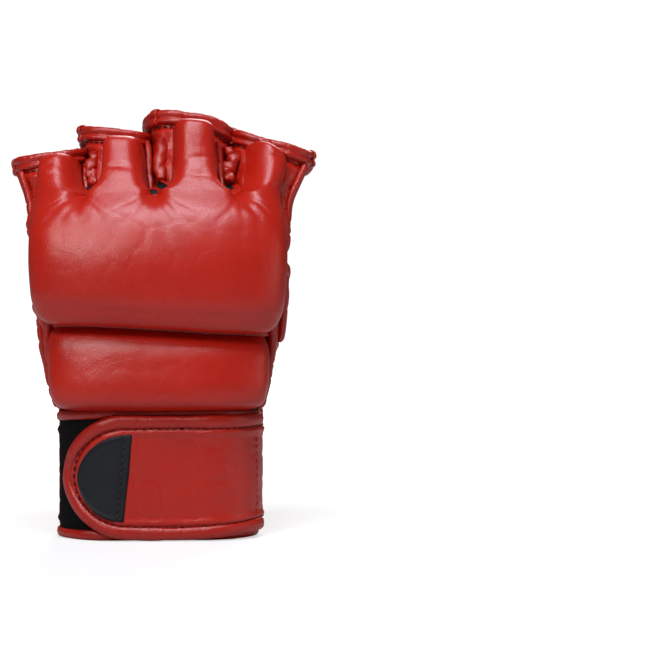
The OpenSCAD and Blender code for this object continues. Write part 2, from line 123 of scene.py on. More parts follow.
def bump(x, centre, width):
    """A rounded hill of height 1."""
    return np.exp(-(((x - centre) / width) ** 2))


def signed_pow(v, p):
    """A power that keeps the sign."""
    return np.sign(v) * np.abs(v) ** p


def unit(v):
    return v / np.maximum(np.linalg.norm(v, axis=-1, keepdims=True), 1e-9)


def lattice(ix, iy, iz, seed):
    """A fixed number from -1 to 1 for each corner of a grid of cells."""
    n = ix * 374761393 + iy * 668265263 + iz * 1442695041 + seed * 974634777
    n = n & 0xFFFFFFFF
    n = ((n ^ (n >> 13)) * 1274126177) & 0xFFFFFFFF
    return ((n ^ (n >> 16)) & 0xFFFF) / 32767.5 - 1


def noise(points, size, seed=0):
    """Smooth noise from -1 to 1 at each point, with cells of the given size in millimetres."""
    p = np.asarray(points, float) / np.asarray(size, float) + 100.5
    low = np.floor(p).astype(np.int64)
    f = p - low
    f = f * f * (3 - 2 * f)
    total = 0
    for dx in (0, 1):
        for dy in (0, 1):
            for dz in (0, 1):
                weight = (
                    (f[..., 0] if dx else 1 - f[..., 0])
                    * (f[..., 1] if dy else 1 - f[..., 1])
                    * (f[..., 2] if dz else 1 - f[..., 2])
                )
                total = total + weight * lattice(low[..., 0] + dx, low[..., 1] + dy, low[..., 2] + dz, seed)
    return total


def soft_noise(points, size, seed=0):
    """Noise with a finer layer on top."""
    return noise(points, size, seed) + 0.5 * noise(points, np.asarray(size) / 2.1, seed + 7)


def ridges(points, size, seed=0, sharp=3.0):
    """Thin raised or sunken lines: 1 along the lines, falling to 0 between them."""
    return (1 - np.abs(soft_noise(points, size, seed))).clip(0, 1) ** sharp


# ---------- the hand's surface ----------


def curl(t):
    """Angle by which the hand bends forwards at distance t from the cuff's bottom."""
    return np.maximum(0, t - CURL_START) / CURL_R


def spine(t):
    """Points on the hand's middle line."""
    a = curl(t)
    z = np.where(t < CURL_START, t, CURL_START + CURL_R * np.sin(a))
    return np.stack([np.zeros_like(z), CURL_R * (1 - np.cos(a)), z], -1)


def back_way(t):
    """Directions out of the back of the hand."""
    a = curl(t)
    return np.stack([np.zeros_like(a), -np.cos(a), np.sin(a)], -1)


def hand_half(t):
    wide = mix(WRIST_HALF, KNUCKLE_HALF, 0.65)
    ends = [KNUCKLE_HALF, KNUCKLE_HALF + 2, KNUCKLE_HALF + 2]
    return curve(t, [CUFF_H, CREASE_T, 150, 180, 210], [WRIST_HALF, wide, *ends])


def back_depth(t):
    deep = WRIST_DEPTH
    return curve(t, [60, CREASE_T, 150, 180, 210], [deep, deep, deep - 2, deep - 6, deep - 6])


def palm_depth(t):
    deep = WRIST_DEPTH
    return curve(t, [CUFF_H, CREASE_T, 135, 170], [deep, deep + 2, deep + 4, deep + 4])


def skin(u, t, d):
    """Points d above the hand's surface, at the angles u in degrees and the distances t."""
    u, t, d = np.broadcast_arrays(np.radians(u), np.asarray(t, float), np.asarray(d, float))
    depth = np.where(np.sin(u) > 0, back_depth(t), palm_depth(t)) + d
    out = spine(t) + back_way(t) * (depth * signed_pow(np.sin(u), BOXY))[..., None]
    out[..., 0] += (hand_half(t) + d) * signed_pow(np.cos(u), BOXY)
    return out


def skin_up(u, t, d):
    return unit(skin(u, t, np.asarray(d) + 1.0) - skin(u, t, np.asarray(d)))


def back_u(x, t):
    """Angle on the back of the hand at width x."""
    return np.degrees(np.arccos(signed_pow(np.clip(x / hand_half(t), -1, 1), 1 / BOXY)))


def palm_u(x, t):
    return np.clip(360 - back_u(x, t), 183, 357)


def base_t(u):
    """Bottom of the hand's panels, just above the cuff's slanted top."""
    lean = 1 - 0.8 * signed_pow(np.sin(np.radians(u)), BOXY)
    return CUFF_H + 0.5 - CUFF_DROP / 2 * lean


def rim_t(f, u):
    """How far up a stall's rim lies at the angles u."""
    a = np.radians(u)
    corner = RIM_CORNER * f.rim_depth * (1 - np.abs(np.sin(a))) ** 1.3
    return mix(f.rim_palm, f.rim_back, (np.sin(a) + 1) / 2) + f.tilt * np.cos(a) + corner


def finger_size(f, t):
    """Middle, half width and half depth of a stall at distance t."""
    s = (t - STALL_T) / (f.rim_back - STALL_T)
    return mix(f.base_x, f.rim_x, s), mix(f.base_half, f.rim_half, s), mix(f.base_depth, f.rim_depth, s)


def finger_point(f, u, t, d):
    """Points d above a stall's surface, at the angles u in degrees and the distances t."""
    u, t, d = np.broadcast_arrays(np.radians(u), np.asarray(t, float), np.asarray(d, float))
    centre, half, depth = finger_size(f, t)
    out = spine(t) + back_way(t) * ((depth + d) * signed_pow(np.sin(u), BOXY))[..., None]
    out[..., 0] += centre + (half + d) * signed_pow(np.cos(u), BOXY)
    return out


def finger_up(f, u, t):
    return unit(finger_point(f, u, t, 1.0) - finger_point(f, u, t, 0.0))


# ---------- materials ----------


def new_material(name):
    material = bpy.data.materials.new(name)
    material.use_nodes = True
    tree = material.node_tree
    shader = tree.nodes["Principled BSDF"]
    return material, tree, shader


def add_node(tree, kind, inputs=None, **settings):
    made = tree.nodes.new(kind)
    for key, value in settings.items():
        setattr(made, key, value)
    for key, value in (inputs or {}).items():
        made.inputs[key].default_value = value
    return made


def object_place(tree):
    return add_node(tree, "ShaderNodeTexCoord").outputs["Object"]


def texture(tree, place, kind, inputs, **settings):
    """A texture laid out over the given coordinates."""
    made = add_node(tree, f"ShaderNodeTex{kind}", inputs, **settings)
    tree.links.new(place, made.inputs["Vector"])
    return made


def maths(tree, operation, first, second):
    """The sum or product of two values."""
    made = add_node(tree, "ShaderNodeMath", operation=operation)
    tree.links.new(first, made.inputs[0])
    tree.links.new(second, made.inputs[1])
    return made.outputs[0]


def colour_mix(tree, factor, low, high):
    """The colour low where the factor is 0 and high where it is 1."""
    ramp = add_node(tree, "ShaderNodeMix", data_type="RGBA")
    ramp.inputs[6].default_value = (*low, 1)
    ramp.inputs[7].default_value = (*high, 1)
    tree.links.new(factor, ramp.inputs[0])
    return ramp.outputs[2]


def scaled(tree, value, low, high):
    """A value from 0 to 1, spread from low to high."""
    out = add_node(tree, "ShaderNodeMapRange", {"To Min": low, "To Max": high})
    tree.links.new(value, out.inputs["Value"])
    return out.outputs["Result"]


def relief(tree, shader, height, strength, distance):
    """Bump relief on the shader."""
    made = add_node(tree, "ShaderNodeBump", {"Strength": strength, "Distance": distance})
    tree.links.new(height, made.inputs["Height"])
    tree.links.new(made.outputs["Normal"], shader.inputs["Normal"])


def leather_material(name, dark, light, grain=1900.0, strength=0.21, rough=(0.26, 0.39), gloss=0.62):
    """Leather: pebbled grain, fine creases, cloudy dye and uneven polish."""
    material, tree, shader = new_material(name)
    place = object_place(tree)
    cloud = texture(tree, place, "Noise", {"Scale": 38.0, "Detail": 5.0, "Roughness": 0.6})
    cells = texture(tree, place, "Voronoi", {"Scale": grain, "Randomness": 1.0})
    fine = texture(tree, place, "Noise", {"Scale": grain * 0.8, "Detail": 4.0})
    crease = texture(tree, place, "Noise", {"Scale": 210.0, "Detail": 3.0, "Distortion": 0.8})
    colour = colour_mix(tree, cloud.outputs["Fac"], dark, light)
    tree.links.new(colour, shader.inputs["Base Color"])
    tree.links.new(scaled(tree, cloud.outputs["Fac"], *rough), shader.inputs["Roughness"])
    pebbles = scaled(tree, cells.outputs["Distance"], 0.0, 1.0)
    height = maths(tree, "ADD", pebbles, scaled(tree, fine.outputs["Fac"], 0.0, 0.55))
    height = maths(tree, "ADD", height, scaled(tree, crease.outputs["Fac"], 0.0, 0.35))
    relief(tree, shader, height, strength, 0.0004)
    shader.inputs["Specular IOR Level"].default_value = gloss
    return material


def fabric_material(name, dark, light, across, along, sheen, rough=0.85):
    """Knitted or brushed fabric: two crossing sets of threads and a soft sheen."""
    material, tree, shader = new_material(name)
    place = object_place(tree)
    first = texture(tree, place, "Wave", {"Scale": across, "Distortion": 0.6, "Detail": 1.0})
    second = texture(tree, place, "Wave", {"Scale": along, "Distortion": 0.5}, bands_direction="Z")
    fuzz = texture(tree, place, "Noise", {"Scale": 700.0, "Detail": 4.0})
    threads = maths(tree, "MULTIPLY", first.outputs["Fac"], scaled(tree, second.outputs["Fac"], 0.55, 1.0))
    tree.links.new(colour_mix(tree, threads, dark, light), shader.inputs["Base Color"])
    height = maths(tree, "ADD", threads, scaled(tree, fuzz.outputs["Fac"], 0.0, 0.6))
    relief(tree, shader, height, 0.5, 0.0005)
    shader.inputs["Roughness"].default_value = rough
    shader.inputs["Sheen Weight"].default_value = sheen
    shader.inputs["Sheen Roughness"].default_value = 0.5
    return material


def pile_material(name, dark, light):
    """Brushed loops: tangled fuzz with no direction."""
    material, tree, shader = new_material(name)
    tangle = {"Scale": 1300.0, "Detail": 5.0, "Roughness": 0.75, "Distortion": 1.5}
    loops = texture(tree, object_place(tree), "Noise", tangle)
    share = scaled(tree, loops.outputs["Fac"], -0.8, 1.7)
    tree.links.new(colour_mix(tree, share, dark, light), shader.inputs["Base Color"])
    relief(tree, shader, loops.outputs["Fac"], 0.9, 0.0006)
    shader.inputs["Roughness"].default_value = 0.95
    shader.inputs["Specular IOR Level"].default_value = 0.1
    return material


def grey(level):
    return (level, level, level)


RED = leather_material("red_leather", (0.45, 0.0085, 0.0020), (0.60, 0.0150, 0.0032))
BOUND = leather_material("bound_leather", (0.38, 0.0075, 0.0020), (0.54, 0.0130, 0.0030), strength=0.26)
CHARCOAL = leather_material(
    "charcoal_leather", (0.011, 0.0125, 0.0145), (0.022, 0.0245, 0.028), rough=(0.5, 0.6), gloss=0.22
)
SEAM_RED = leather_material("seam_red", (0.16, 0.004, 0.0016), (0.30, 0.008, 0.003), 900.0, 0.3)
BLACK = fabric_material("black_lining", grey(0.003), (0.0105, 0.010, 0.010), 190.0, 260.0, 0.12)
# Near-black with no sheen, darker than the lining: painted shade for the inside of the small holes
HOLE_PAINTED_SHADE = fabric_material("hole_painted_shade", grey(0.0004), (0.0014, 0.0013, 0.0013), 190.0, 260.0, 0.0, 0.95)
THREAD = fabric_material("red_thread", (0.07, 0.0020, 0.0012), (0.20, 0.005, 0.003), 900.0, 900.0, 0.03, 0.6)
BLACK_THREAD = fabric_material("black_thread", grey(0.003), grey(0.012), 900.0, 900.0, 0.1, 0.6)
PILE = pile_material("loop_pile", (0.0015, 0.0015, 0.0016), (0.014, 0.014, 0.015))
HOOK = pile_material("hook_fabric", (0.004, 0.004, 0.0045), (0.03, 0.03, 0.032))


# ---------- meshes ----------

# Angles round the section of a small roll
RING = np.linspace(0, 2 * np.pi, 16, endpoint=False)


def make_object(name, points, faces, material):
    """Mesh object from points in millimetres. A name that a CAD node has gets _mesh added."""
    if name in bpy.data.objects:
        name = f"{name}_mesh"
    mesh = bpy.data.meshes.new(name)
    mesh.from_pydata((np.asarray(points) * MM).tolist(), [], [list(map(int, f)) for f in faces])
    mesh.materials.append(material)
    mesh.polygons.foreach_set("use_smooth", [True] * len(mesh.polygons))
    made = bpy.data.objects.new(name, mesh)
    bpy.context.scene.collection.objects.link(made)
    return made


def face_outwards(made):
    """Turns all faces of a closed mesh to the outside."""
    shape = bmesh.new()
    shape.from_mesh(made.data)
    bmesh.ops.recalc_face_normals(shape, faces=shape.faces)
    shape.to_mesh(made.data)
    shape.free()
    return made


def grid_faces(m, n, wrap=False, first=0):
    """Quads of a grid of m by n points, closed round its first direction if it wraps."""
    i = np.arange(m if wrap else m - 1)
    j = np.arange(n - 1)
    i, j = np.meshgrid(i, j, indexing="ij")
    k = (i + 1) % m
    quads = np.stack([i * n + j, k * n + j, k * n + j + 1, i * n + j + 1], -1)
    return quads.reshape(-1, 4) + first


def strip_faces(a, b, closed):
    """Quads between two rows of vertex numbers."""
    a, b = np.asarray(a), np.asarray(b)
    if closed:
        return np.stack([a, np.roll(a, -1), np.roll(b, -1), b], -1)
    return np.stack([a[:-1], a[1:], b[1:], b[:-1]], -1)


def border_ids(m, n):
    """Vertex numbers round the border of a grid, and the numbers just inside them."""
    ids = np.arange(m * n).reshape(m, n)
    ring = np.concatenate([ids[:-1, 0], ids[-1, :-1], ids[:0:-1, -1], ids[0, :0:-1]])
    inner = np.clip(ring // n, 1, m - 2) * n + np.clip(ring % n, 1, n - 2)
    return ring, inner


def sheet_object(name, outer, inner, material, wrap=False):
    """Closed sheet between two grids of points, with rounded edges."""
    m, n = outer.shape[:2]
    count = m * n
    top, low = outer.reshape(-1, 3), inner.reshape(-1, 3)
    faces = [grid_faces(m, n, wrap), grid_faces(m, n, wrap, count)[:, ::-1]]
    points = [top, low]
    next_id = 2 * count
    if wrap:
        ids = np.arange(count).reshape(m, n)
        rings = [(ids[:, 0], ids[:, 1]), (ids[:, -1], ids[:, -2])]
    else:
        rings = [border_ids(m, n)]
    for ring, inside in rings:
        middle = (top[ring] + low[ring]) / 2
        away = unit(top[ring] - top[inside])
        thick = np.linalg.norm(top[ring] - low[ring], axis=-1, keepdims=True)
        points.append(middle + away * thick * 0.4)
        mid_ids = np.arange(len(ring)) + next_id
        next_id += len(ring)
        faces.append(strip_faces(ring, mid_ids, True))
        faces.append(strip_faces(mid_ids, ring + count, True))
    made = make_object(name, np.concatenate(points), np.concatenate(faces), material)
    return face_outwards(made)


def crisp_ends(values):
    """Adds a row just inside each end, so that the end caps don't soften the shading there."""
    first = mix(values[0], values[1], 0.03)
    last = mix(values[-1], values[-2], 0.03)
    return np.concatenate([values[:1], [first], values[1:-1], [last], values[-1:]])


def sweep_object(name, path, up, section, material, closed=False, scale=None, toward=None, rough=None):
    """Sweeps a closed section of (sideways, upwards) offsets along a path.

    toward is the direction that a sideways offset points to. rough is the size, height and seed
    of the crumpling.
    """
    path = np.asarray(path, float)
    ahead = np.roll(path, -1, 0) - np.roll(path, 1, 0) if closed else np.gradient(path, axis=0)
    ahead = unit(ahead)
    side = unit(np.cross(ahead, up))
    up = unit(np.cross(side, ahead))
    scale = np.ones((len(path), 2)) if scale is None else np.asarray(scale)
    if not closed:
        path, side, up, scale = (crisp_ends(v) for v in (path, side, up, scale))
    if toward is not None and (side @ np.asarray(toward)).mean() < 0:
        side = -side
    across = section[None, :, 0] * scale[:, 0:1]
    above = section[None, :, 1] * scale[:, 1:2]
    rings = path[:, None] + side[:, None] * across[..., None] + up[:, None] * above[..., None]
    if rough is not None:
        cell, height, seed = rough
        away = unit(rings - rings.mean(1, keepdims=True))
        crumple = soft_noise(rings, cell, seed) - 1.6 * ridges(rings, cell * 1.3, seed + 5, 4.0)
        rings = rings + away * height * crumple[..., None]
    n, k = rings.shape[:2]
    ids = np.arange(n * k).reshape(n, k)
    rows = [strip_faces(ids[i], ids[(i + 1) % n], True) for i in range(n if closed else n - 1)]
    points = rings.reshape(-1, 3)
    faces = [list(f) for f in np.concatenate(rows)]
    if not closed:
        ends = [rings[0].mean(0), rings[-1].mean(0)]
        points = np.concatenate([points, ends])
        for end, ring in ((n * k, ids[0]), (n * k + 1, ids[-1])):
            faces += [[end, ring[i], ring[(i + 1) % k]] for i in range(k)]
    return face_outwards(make_object(name, points, faces, material))


def roll_section(width, height, sink=0.35, count=12):
    """Section of a rolled leather edge: wide and flat below, round on top."""
    a = np.linspace(0, 2 * np.pi, count, endpoint=False)
    across = width / 2 * signed_pow(np.cos(a), 0.8)
    above = height / 2 * (1 + signed_pow(np.sin(a), 0.85)) - sink
    return np.stack([across, above], -1)


def resample(path, others, step, closed=False):
    """Points at even steps along a path, with other per-point values carried along."""
    path = np.asarray(path, float)
    if closed:
        path = np.concatenate([path, path[:1]])
        others = [np.concatenate([o, o[:1]]) for o in others]
    length = np.concatenate([[0], np.cumsum(np.linalg.norm(np.diff(path, axis=0), axis=1))])
    count = max(2, int(round(length[-1] / step)))
    at = np.linspace(0, length[-1], count, endpoint=not closed)

    def picked(values):
        return np.stack([np.interp(at, length, values[:, k]) for k in range(values.shape[1])], -1)

    return picked(path), [picked(np.asarray(o, float)) for o in others]


def edge_scale(path, seed, amount=0.07, fold=0.0, ends=(True, True)):
    """Uneven width and height along a rolled edge, thinner at its ends."""
    lumps = soft_noise(path, 9.0, seed)
    folds = ridges(path, 8.5, seed + 3, 9.0) if fold else 0
    wide = 1 + amount * lumps
    high = 1 + amount * noise(path, 8.0, seed + 1) - fold * folds
    n = len(path)
    for ended, count in zip(ends, (np.arange(n), np.arange(n)[::-1])):
        taper = np.sqrt(1 - 0.85 * (1 - np.clip((count + 0.3) / 3.0, 0, 1)) ** 2) if ended else 1.0
        wide, high = wide * taper, high * taper
    return np.stack([wide, high], -1)


def rolled_edge(name, path, up, width, height, seed, closed=False, fold=0.12, ends=(True, True)):
    """Rolled leather along a path. ends says which of its two ends taper."""
    path, (up,) = resample(path, [up], 1.0, closed)
    scale = edge_scale(path, seed, fold=fold, ends=(False, False) if closed else ends)
    return sweep_object(name, path, up, roll_section(width, height), BOUND, closed, scale)


def thread_shape(length, radius):
    """Points and faces of a short thread, lying along the first axis with its ends pulled down."""
    stations = np.array([-0.5, -0.42, -0.2, 0.2, 0.42, 0.5]) * length
    radii = np.array([0.25, 0.8, 1.0, 1.0, 0.8, 0.25]) * radius
    count = len(stations)
    a = np.linspace(0, 2 * np.pi, count, endpoint=False)
    along = np.repeat(stations[:, None], count, 1)
    across = radii[:, None] * np.cos(a)[None]
    pulled = np.where(np.abs(stations) > 0.4 * length, -0.3, 0)[:, None] * radius
    rings = np.stack([along, across, radii[:, None] * np.sin(a)[None] + pulled], -1)
    ids = np.arange(count * count).reshape(count, count)
    faces = [list(f) for i in range(count - 1) for f in strip_faces(ids[i], ids[i + 1], True)]
    return rings.reshape(-1, 3), faces + [list(ids[0][::-1]), list(ids[-1])]


def stitch_object(name, path, up, pitch=3.6, length=2.4, radius=0.36, material=THREAD, closed=False):
    """A row of separate threads along a path, each lying on the leather."""
    path, (up,) = resample(path, [up], pitch, closed)
    ahead = unit(np.roll(path, -1, 0) - np.roll(path, 1, 0) if closed else np.gradient(path, axis=0))
    side = unit(np.cross(ahead, up))
    up = unit(np.cross(side, ahead))
    shape, faces = thread_shape(length, radius)
    points, all_faces = [], []
    for i in range(len(path)):
        points.append(path[i] + shape @ np.stack([ahead[i], side[i], up[i]]))
        all_faces += [[k + i * len(shape) for k in f] for f in faces]
    return face_outwards(make_object(name, np.concatenate(points), all_faces, material))


# Radius of the thread along the palm's seams
SEAM_THREAD = 0.42


def grid(m, n):
    """Shares from 0 to 1 along the two directions of a grid."""
    return np.meshgrid(np.linspace(0, 1, m), np.linspace(0, 1, n), indexing="ij")


def loop_grid(end, m, n):
    """A grid that closes round its first direction, from 0 to end, and goes from 0 to 1 across."""
    return np.meshgrid(np.linspace(0, end, m, endpoint=False), np.linspace(0, 1, n), indexing="ij")


def flat_place(x, t, z=0.0):
    """Points laid out flat, as a place in the noise."""
    return np.stack(np.broadcast_arrays(x, t, z), -1)


def hand_sheet(name, u, t, top, low, material):
    """Sheet on the hand between two heights above its surface."""
    return sheet_object(name, skin(u, t, top), skin(u, t, low), material)


def hand_edge(name, u, t, d, width, height, seed, **options):
    """Rolled leather along a line on the hand."""
    u, t, d = np.broadcast_arrays(*(np.asarray(v, float) for v in (u, t, d)))
    return rolled_edge(name, skin(u, t, d), skin_up(u, t, d), width, height, seed, **options)


def hand_stitches(name, u, t, d, **options):
    """Row of stitches along a line on the hand."""
    u, t, d = np.broadcast_arrays(*(np.asarray(v, float) for v in (u, t, d)))
    return stitch_object(name, skin(u, t, d), skin_up(u, t, d), **options)


# ---------- how pieces move ----------

# Start and end of each bend in millimetres: a finger's along the hand's middle line, the strap's at
# the side of the cuff, the free end's across the strap, and the flap's from its fold line
FINGER_BEND = (160.0, 173.0)
ROOT_BEND = ((47.8, -9.6, 31.5), (44.6, -17.6, 31.5))
TIP_BEND = ((-6.0, -30.2, 31.5), (-13.5, -30.2, 31.5))
FLAP_FOLD = np.array([20.0, 26.0, 87.6])
ACROSS_FOLD = np.array([-22.5, 0.0, 53.0])
FLAP_BEND = (-3.0, 9.0)


def label(made, nodes):
    """Hides the CAD nodes that a piece stands for."""
    if nodes:
        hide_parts(*nodes)


def attach(made, body, slot, *nodes):
    """A piece that moves with one body."""
    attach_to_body(made, body)
    label(made, nodes)


def attach_bent(made, moving, ends, nodes):
    """Bakes a piece's place into its mesh and hides the CAD nodes that it stands for."""
    start, end = (tuple(np.asarray(point) * MM) for point in ends)
    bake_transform(made)
    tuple(start)
    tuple(end)
    label(made, nodes)


def attach_finger(made, name, slot, *nodes):
    ends = spine(np.array(FINGER_BEND))
    ends[:, 0] = FINGERS[name].base_x
    attach_bent(made, name, ends, nodes)


def attach_flap(made, slot, *nodes):
    ends = [FLAP_FOLD + unit(ACROSS_FOLD) * way for way in FLAP_BEND]
    attach_bent(made, "thumb_flap", ends, nodes)


def attach_strap_root(made, slot, *nodes):
    """The strap's root, sewn to the cuff's side: its place is baked into its mesh and its CAD nodes are
    hidden.
    """
    attach_bent(made, "strap", ROOT_BEND, nodes)


def attach_strap_tip(made, slot, *nodes):
    attach_bent(made, "strap_tip", TIP_BEND, nodes)


# ---------- back pads ----------

# Widths where the gaps between the fingers start, and how far a lobe stays from each gap's middle
SLITS = np.array([-32.0, -2.4, 31.6])
SLIT_LEFT = np.array([5.6, 4.4, 7.2])
SLIT_RIGHT = np.array([6.4, 8.4, 9.2])
# Bottom edge of the knuckle pad: its height above the crease at these widths
LOW_CURVE = np.polyfit([-60, -33, -13, 26, 48, 62], [1.2, 2.2, 1.0, -1.4, -2.8, -2.6], 3)
# How far up the left and right ends of each lobe's top lie
LOBE_TOPS = {
    "pinky": (181.0, 181.5),
    "ring": (189.0, 189.0),
    "middle": (195.0, 194.0),
    "index": (188.5, 181.5),
}


def slit_reach(t):
    """How far a gap between two lobes has opened at distance t, as a share of its full width."""
    return 1 - np.exp(-np.maximum(0, t - SLIT_T) / 3.5)


def pad_edge_x(t):
    """Width at the pads' left and right edges, on the hand's surface."""
    half = hand_half(t) * 0.888
    flare = smooth(t, 160, 178)
    return -half - 2.2 + 1.2 * flare, half + 0.4 + 3.4 * flare


def slit_factor(x, t):
    """1 on the pad, falling to 0 at the gaps between the fingers."""
    out = np.ones_like(x)
    for c, left, right in zip(SLITS, SLIT_LEFT, SLIT_RIGHT):
        half = 1 + (np.where(x < c, left, right) - 1) * slit_reach(t)
        across = np.maximum(0, np.abs(x - c) - half) / 6.8
        below = np.maximum(0, SLIT_T - t) / 13.0
        out = out * swell(np.hypot(across, below))
    return out


# Furrows that fan out below each gap: lean to the side per millimetre down, depth and half width
SLIT_FAN = (
    (-1.5, 0.4, 0.9),
    (-0.8, 0.8, 1.2),
    (-0.25, 0.7, 1.0),
    (0.12, 1.3, 1.5),
    (0.7, 0.9, 1.1),
    (1.35, 0.5, 0.9),
)


def slit_creases(x, t):
    """Soft furrows that fan out below each gap."""
    out = 0
    down = SLIT_T - t
    for k, c in enumerate(SLITS):
        for lean, depth, width in SLIT_FAN:
            sway = 0.8 * np.sin(0.45 * down + 5 * lean + k)
            line = c + 0.1 * down + lean * down + sway * smooth(down, 0, 12)
            wide = width + 0.05 * np.maximum(0, down)
            reach = np.exp(-np.maximum(0, down) / (11.0 - 3 * abs(lean)))
            reach = reach * np.exp(-np.maximum(0, -down) / 4.0)
            out = out - depth * bump(x, line, wide) * reach * smooth(down, -2.0, 3.0)
    return out


def knuckle_thickness(x, t):
    """Height of the knuckle pad and its lobes above the hand."""
    left, right = pad_edge_x(t)
    s = np.where(x < 0, x / left, x / right)
    side = swell((1 - np.abs(s)) / 0.34) ** 0.9
    level = curve(t, [100, 118, 136, 148, 160, 172, 200], [18.6, 20.4, 20.4, 18.0, 13.0, 10.8, 10.4])
    return level * side * slit_factor(x, t) + slit_creases(x, t) * side


def pad_waves(points, amount=1.0):
    """Shallow dents and wrinkles of soft padded leather."""
    return amount * (0.35 * soft_noise(points, 26.0, 11) - 0.10 * ridges(points, (9.0, 9.0, 4.5), 21, 6.0))


def pad_columns(count):
    """Numbers from -1 to 1, closer together near both ends."""
    return np.sin(np.linspace(-np.pi / 2, np.pi / 2, count)) * 0.55 + np.linspace(-1, 1, count) * 0.45


def knuckle_grid():
    """Widths, distances and heights of the knuckle pad, whose lower edge hangs over the crease."""
    columns = pad_columns(171)
    rows = np.concatenate([np.linspace(0, 0.14, 14, endpoint=False), np.linspace(0.14, 1, 84), [1.008]])
    s, v = np.meshgrid(columns, rows, indexing="ij")
    low = 101.6 + np.polyval(LOW_CURVE, s * 52)
    t = mix(low, SLIT_T, v)
    left, right = pad_edge_x(t)
    x = np.where(s < 0, -s * left, s * right)
    rise = swell((t - low) / 17.0)
    d = PAD_D + knuckle_thickness(x, t) * rise
    overhang = 2.9 * np.sin(np.pi * np.clip((t - low) / 8.0, 0, 1)) * smooth(np.abs(s), 1.0, 0.8)
    t = t - overhang
    d = d + pad_waves(flat_place(x, t)) * rise * smooth(np.abs(s), 1.0, 0.85)
    return x, t, d


def pad_points(x, t, d, f=None):
    """Points over the hand's back at width x. Towards a finger's tip they lie on that finger."""
    out = skin(back_u(x, t), t, d)
    if f is None:
        return out
    centre, half, depth = finger_size(f, t)
    away = np.clip(np.abs((out[..., 0] - centre) / half), 0, 0.999)
    finger_depth = depth * (1 - away ** (2 / BOXY)) ** (BOXY / 2)
    hand_depth = back_depth(t) * signed_pow(np.sin(np.radians(back_u(x, t))), BOXY)
    lift = (finger_depth - hand_depth) * smooth(t, 160, 188)
    return out + back_way(t) * lift[..., None]


def pad_object(name, points, kept=slice(None), smooth_border=True):
    """Open surface through the kept rows of a pad's points.

    With a smooth border it is shaded as if the rows left out were there, so that the knuckle pad
    and its lobes meet without a seam.
    """
    rows = points[:, kept]
    made = make_object(name, rows.reshape(-1, 3), grid_faces(*rows.shape[:2]), RED)
    if smooth_border:
        normals = unit(np.cross(np.gradient(points, axis=0), np.gradient(points, axis=1)))[:, kept]
        made.data.normals_split_custom_set_from_vertices(normals.reshape(-1, 3).tolist())
    return made


def knuckle_pad():
    """Large pad over the knuckles."""
    made = pad_object("knuckle_pad", pad_points(*knuckle_grid()), slice(None, -1))
    attach(made, "glove", "red_leather", "knuckle_foam", "knuckle_cover")


def lobe_limits(index, t):
    """Left and right width of a lobe at distance t, on the hand's surface."""
    edge_left, edge_right = pad_edge_x(t)
    open_share = slit_reach(t)
    left = edge_left if index == 0 else SLITS[index - 1] + 1 + (SLIT_RIGHT[index - 1] - 1) * open_share
    right = edge_right if index == 3 else SLITS[index] - 1 - (SLIT_LEFT[index] - 1) * open_share
    return left, right


def lobe_grid(index, name):
    """Widths, distances and heights of a finger's lobe, from the knuckle pad to its rounded top."""
    q = np.linspace(-1, 1, 45)
    columns = (q * 0.4 + np.sin(q * np.pi / 2) * 0.6 + 1) / 2
    rows = np.concatenate([[-0.012], 1 - (1 - np.linspace(0, 1, 44)) ** 1.4])
    s, v = np.meshgrid(columns, rows, indexing="ij")
    top_left, top_right = LOBE_TOPS[name]
    corner = 2.6 * np.abs(2 * s - 1) ** 5
    top = mix(top_left, top_right, s) - corner
    t = mix(SLIT_T, top, v)
    left, right = lobe_limits(index, t)
    x = mix(left, right, s)
    fall = swell((top - t) / 6.0 + 0.003)
    d = PAD_D + knuckle_thickness(x, t) * fall
    puff = 1.1 * np.sin(np.pi * s) * np.sin(np.pi * np.clip(v * 0.9, 0, 1)) ** 2
    crease = 0.45 * bump(t + 0.12 * x, SLIT_T + 8.5, 1.3) + 0.35 * bump(t - 0.1 * x, SLIT_T + 13.0, 1.1)
    d = d + puff - crease * np.sin(np.pi * s) + pad_waves(flat_place(x, t)) * fall
    return x, t, np.maximum(d, 0.6)


def finger_pad(index, name):
    """Padded lobe that goes on from the knuckle pad over a finger."""
    points = pad_points(*lobe_grid(index, name), FINGERS[name])
    made = pad_object(f"{name}_pad", points, slice(1, None))
    attach_finger(made, name, "red_leather", f"{name}_lobe_foam", f"{name}_lobe_cover")


def backhand_pad():
    """Low pad between the cuff and the crease."""
    rows = (1 - np.cos(np.linspace(0, np.pi, 60))) / 2
    s, v = np.meshgrid(pad_columns(131), rows, indexing="ij")
    high = 101.0 + np.polyval(LOW_CURVE, s * 50)
    t = mix(CUFF_H - 1.0, high, v)
    half = hand_half(t) * 0.905
    x = s * half - 0.6
    side = swell((1 - np.abs(s)) / 0.24) ** 0.9
    ends = swell((t - CUFF_H + 1.05) / 7.0) * swell((high - t) / 15.0)
    level = curve(t, [60, 72, 84, 102], [13.4, 15.2, 13.2, 9.0])
    d = PAD_D + level * side * ends
    d = d + pad_waves(flat_place(x, t), 1.2) * side * ends
    made = pad_object("backhand_pad", pad_points(x, t, d), smooth_border=False)
    attach(made, "glove", "red_leather", "backhand_foam", "backhand_cover")


def crease_welt():
    """Rolled strip at the bottom of the crease between the two pads."""
    x = np.linspace(-50, 50, 90)
    t = 101.0 + np.polyval(LOW_CURVE, x)
    made = hand_edge("crease_welt", back_u(x, t), t, PAD_D, 3.0, 3.6, 5)
    attach(made, "glove", "binding", "crease_welt")


# ---------- sides of the hand ----------


def pad_side_u(t):
    """Angle of the piping beside the pads."""
    return curve(t, [60, 88, 100, 110, 165], [18.6, 18.6, 22.5, 28.0, 28.2])


def side_angle(side, u):
    """Angle on the thumb side, or the same angle mirrored to the little finger's side."""
    return u if side > 0 else 180 - u


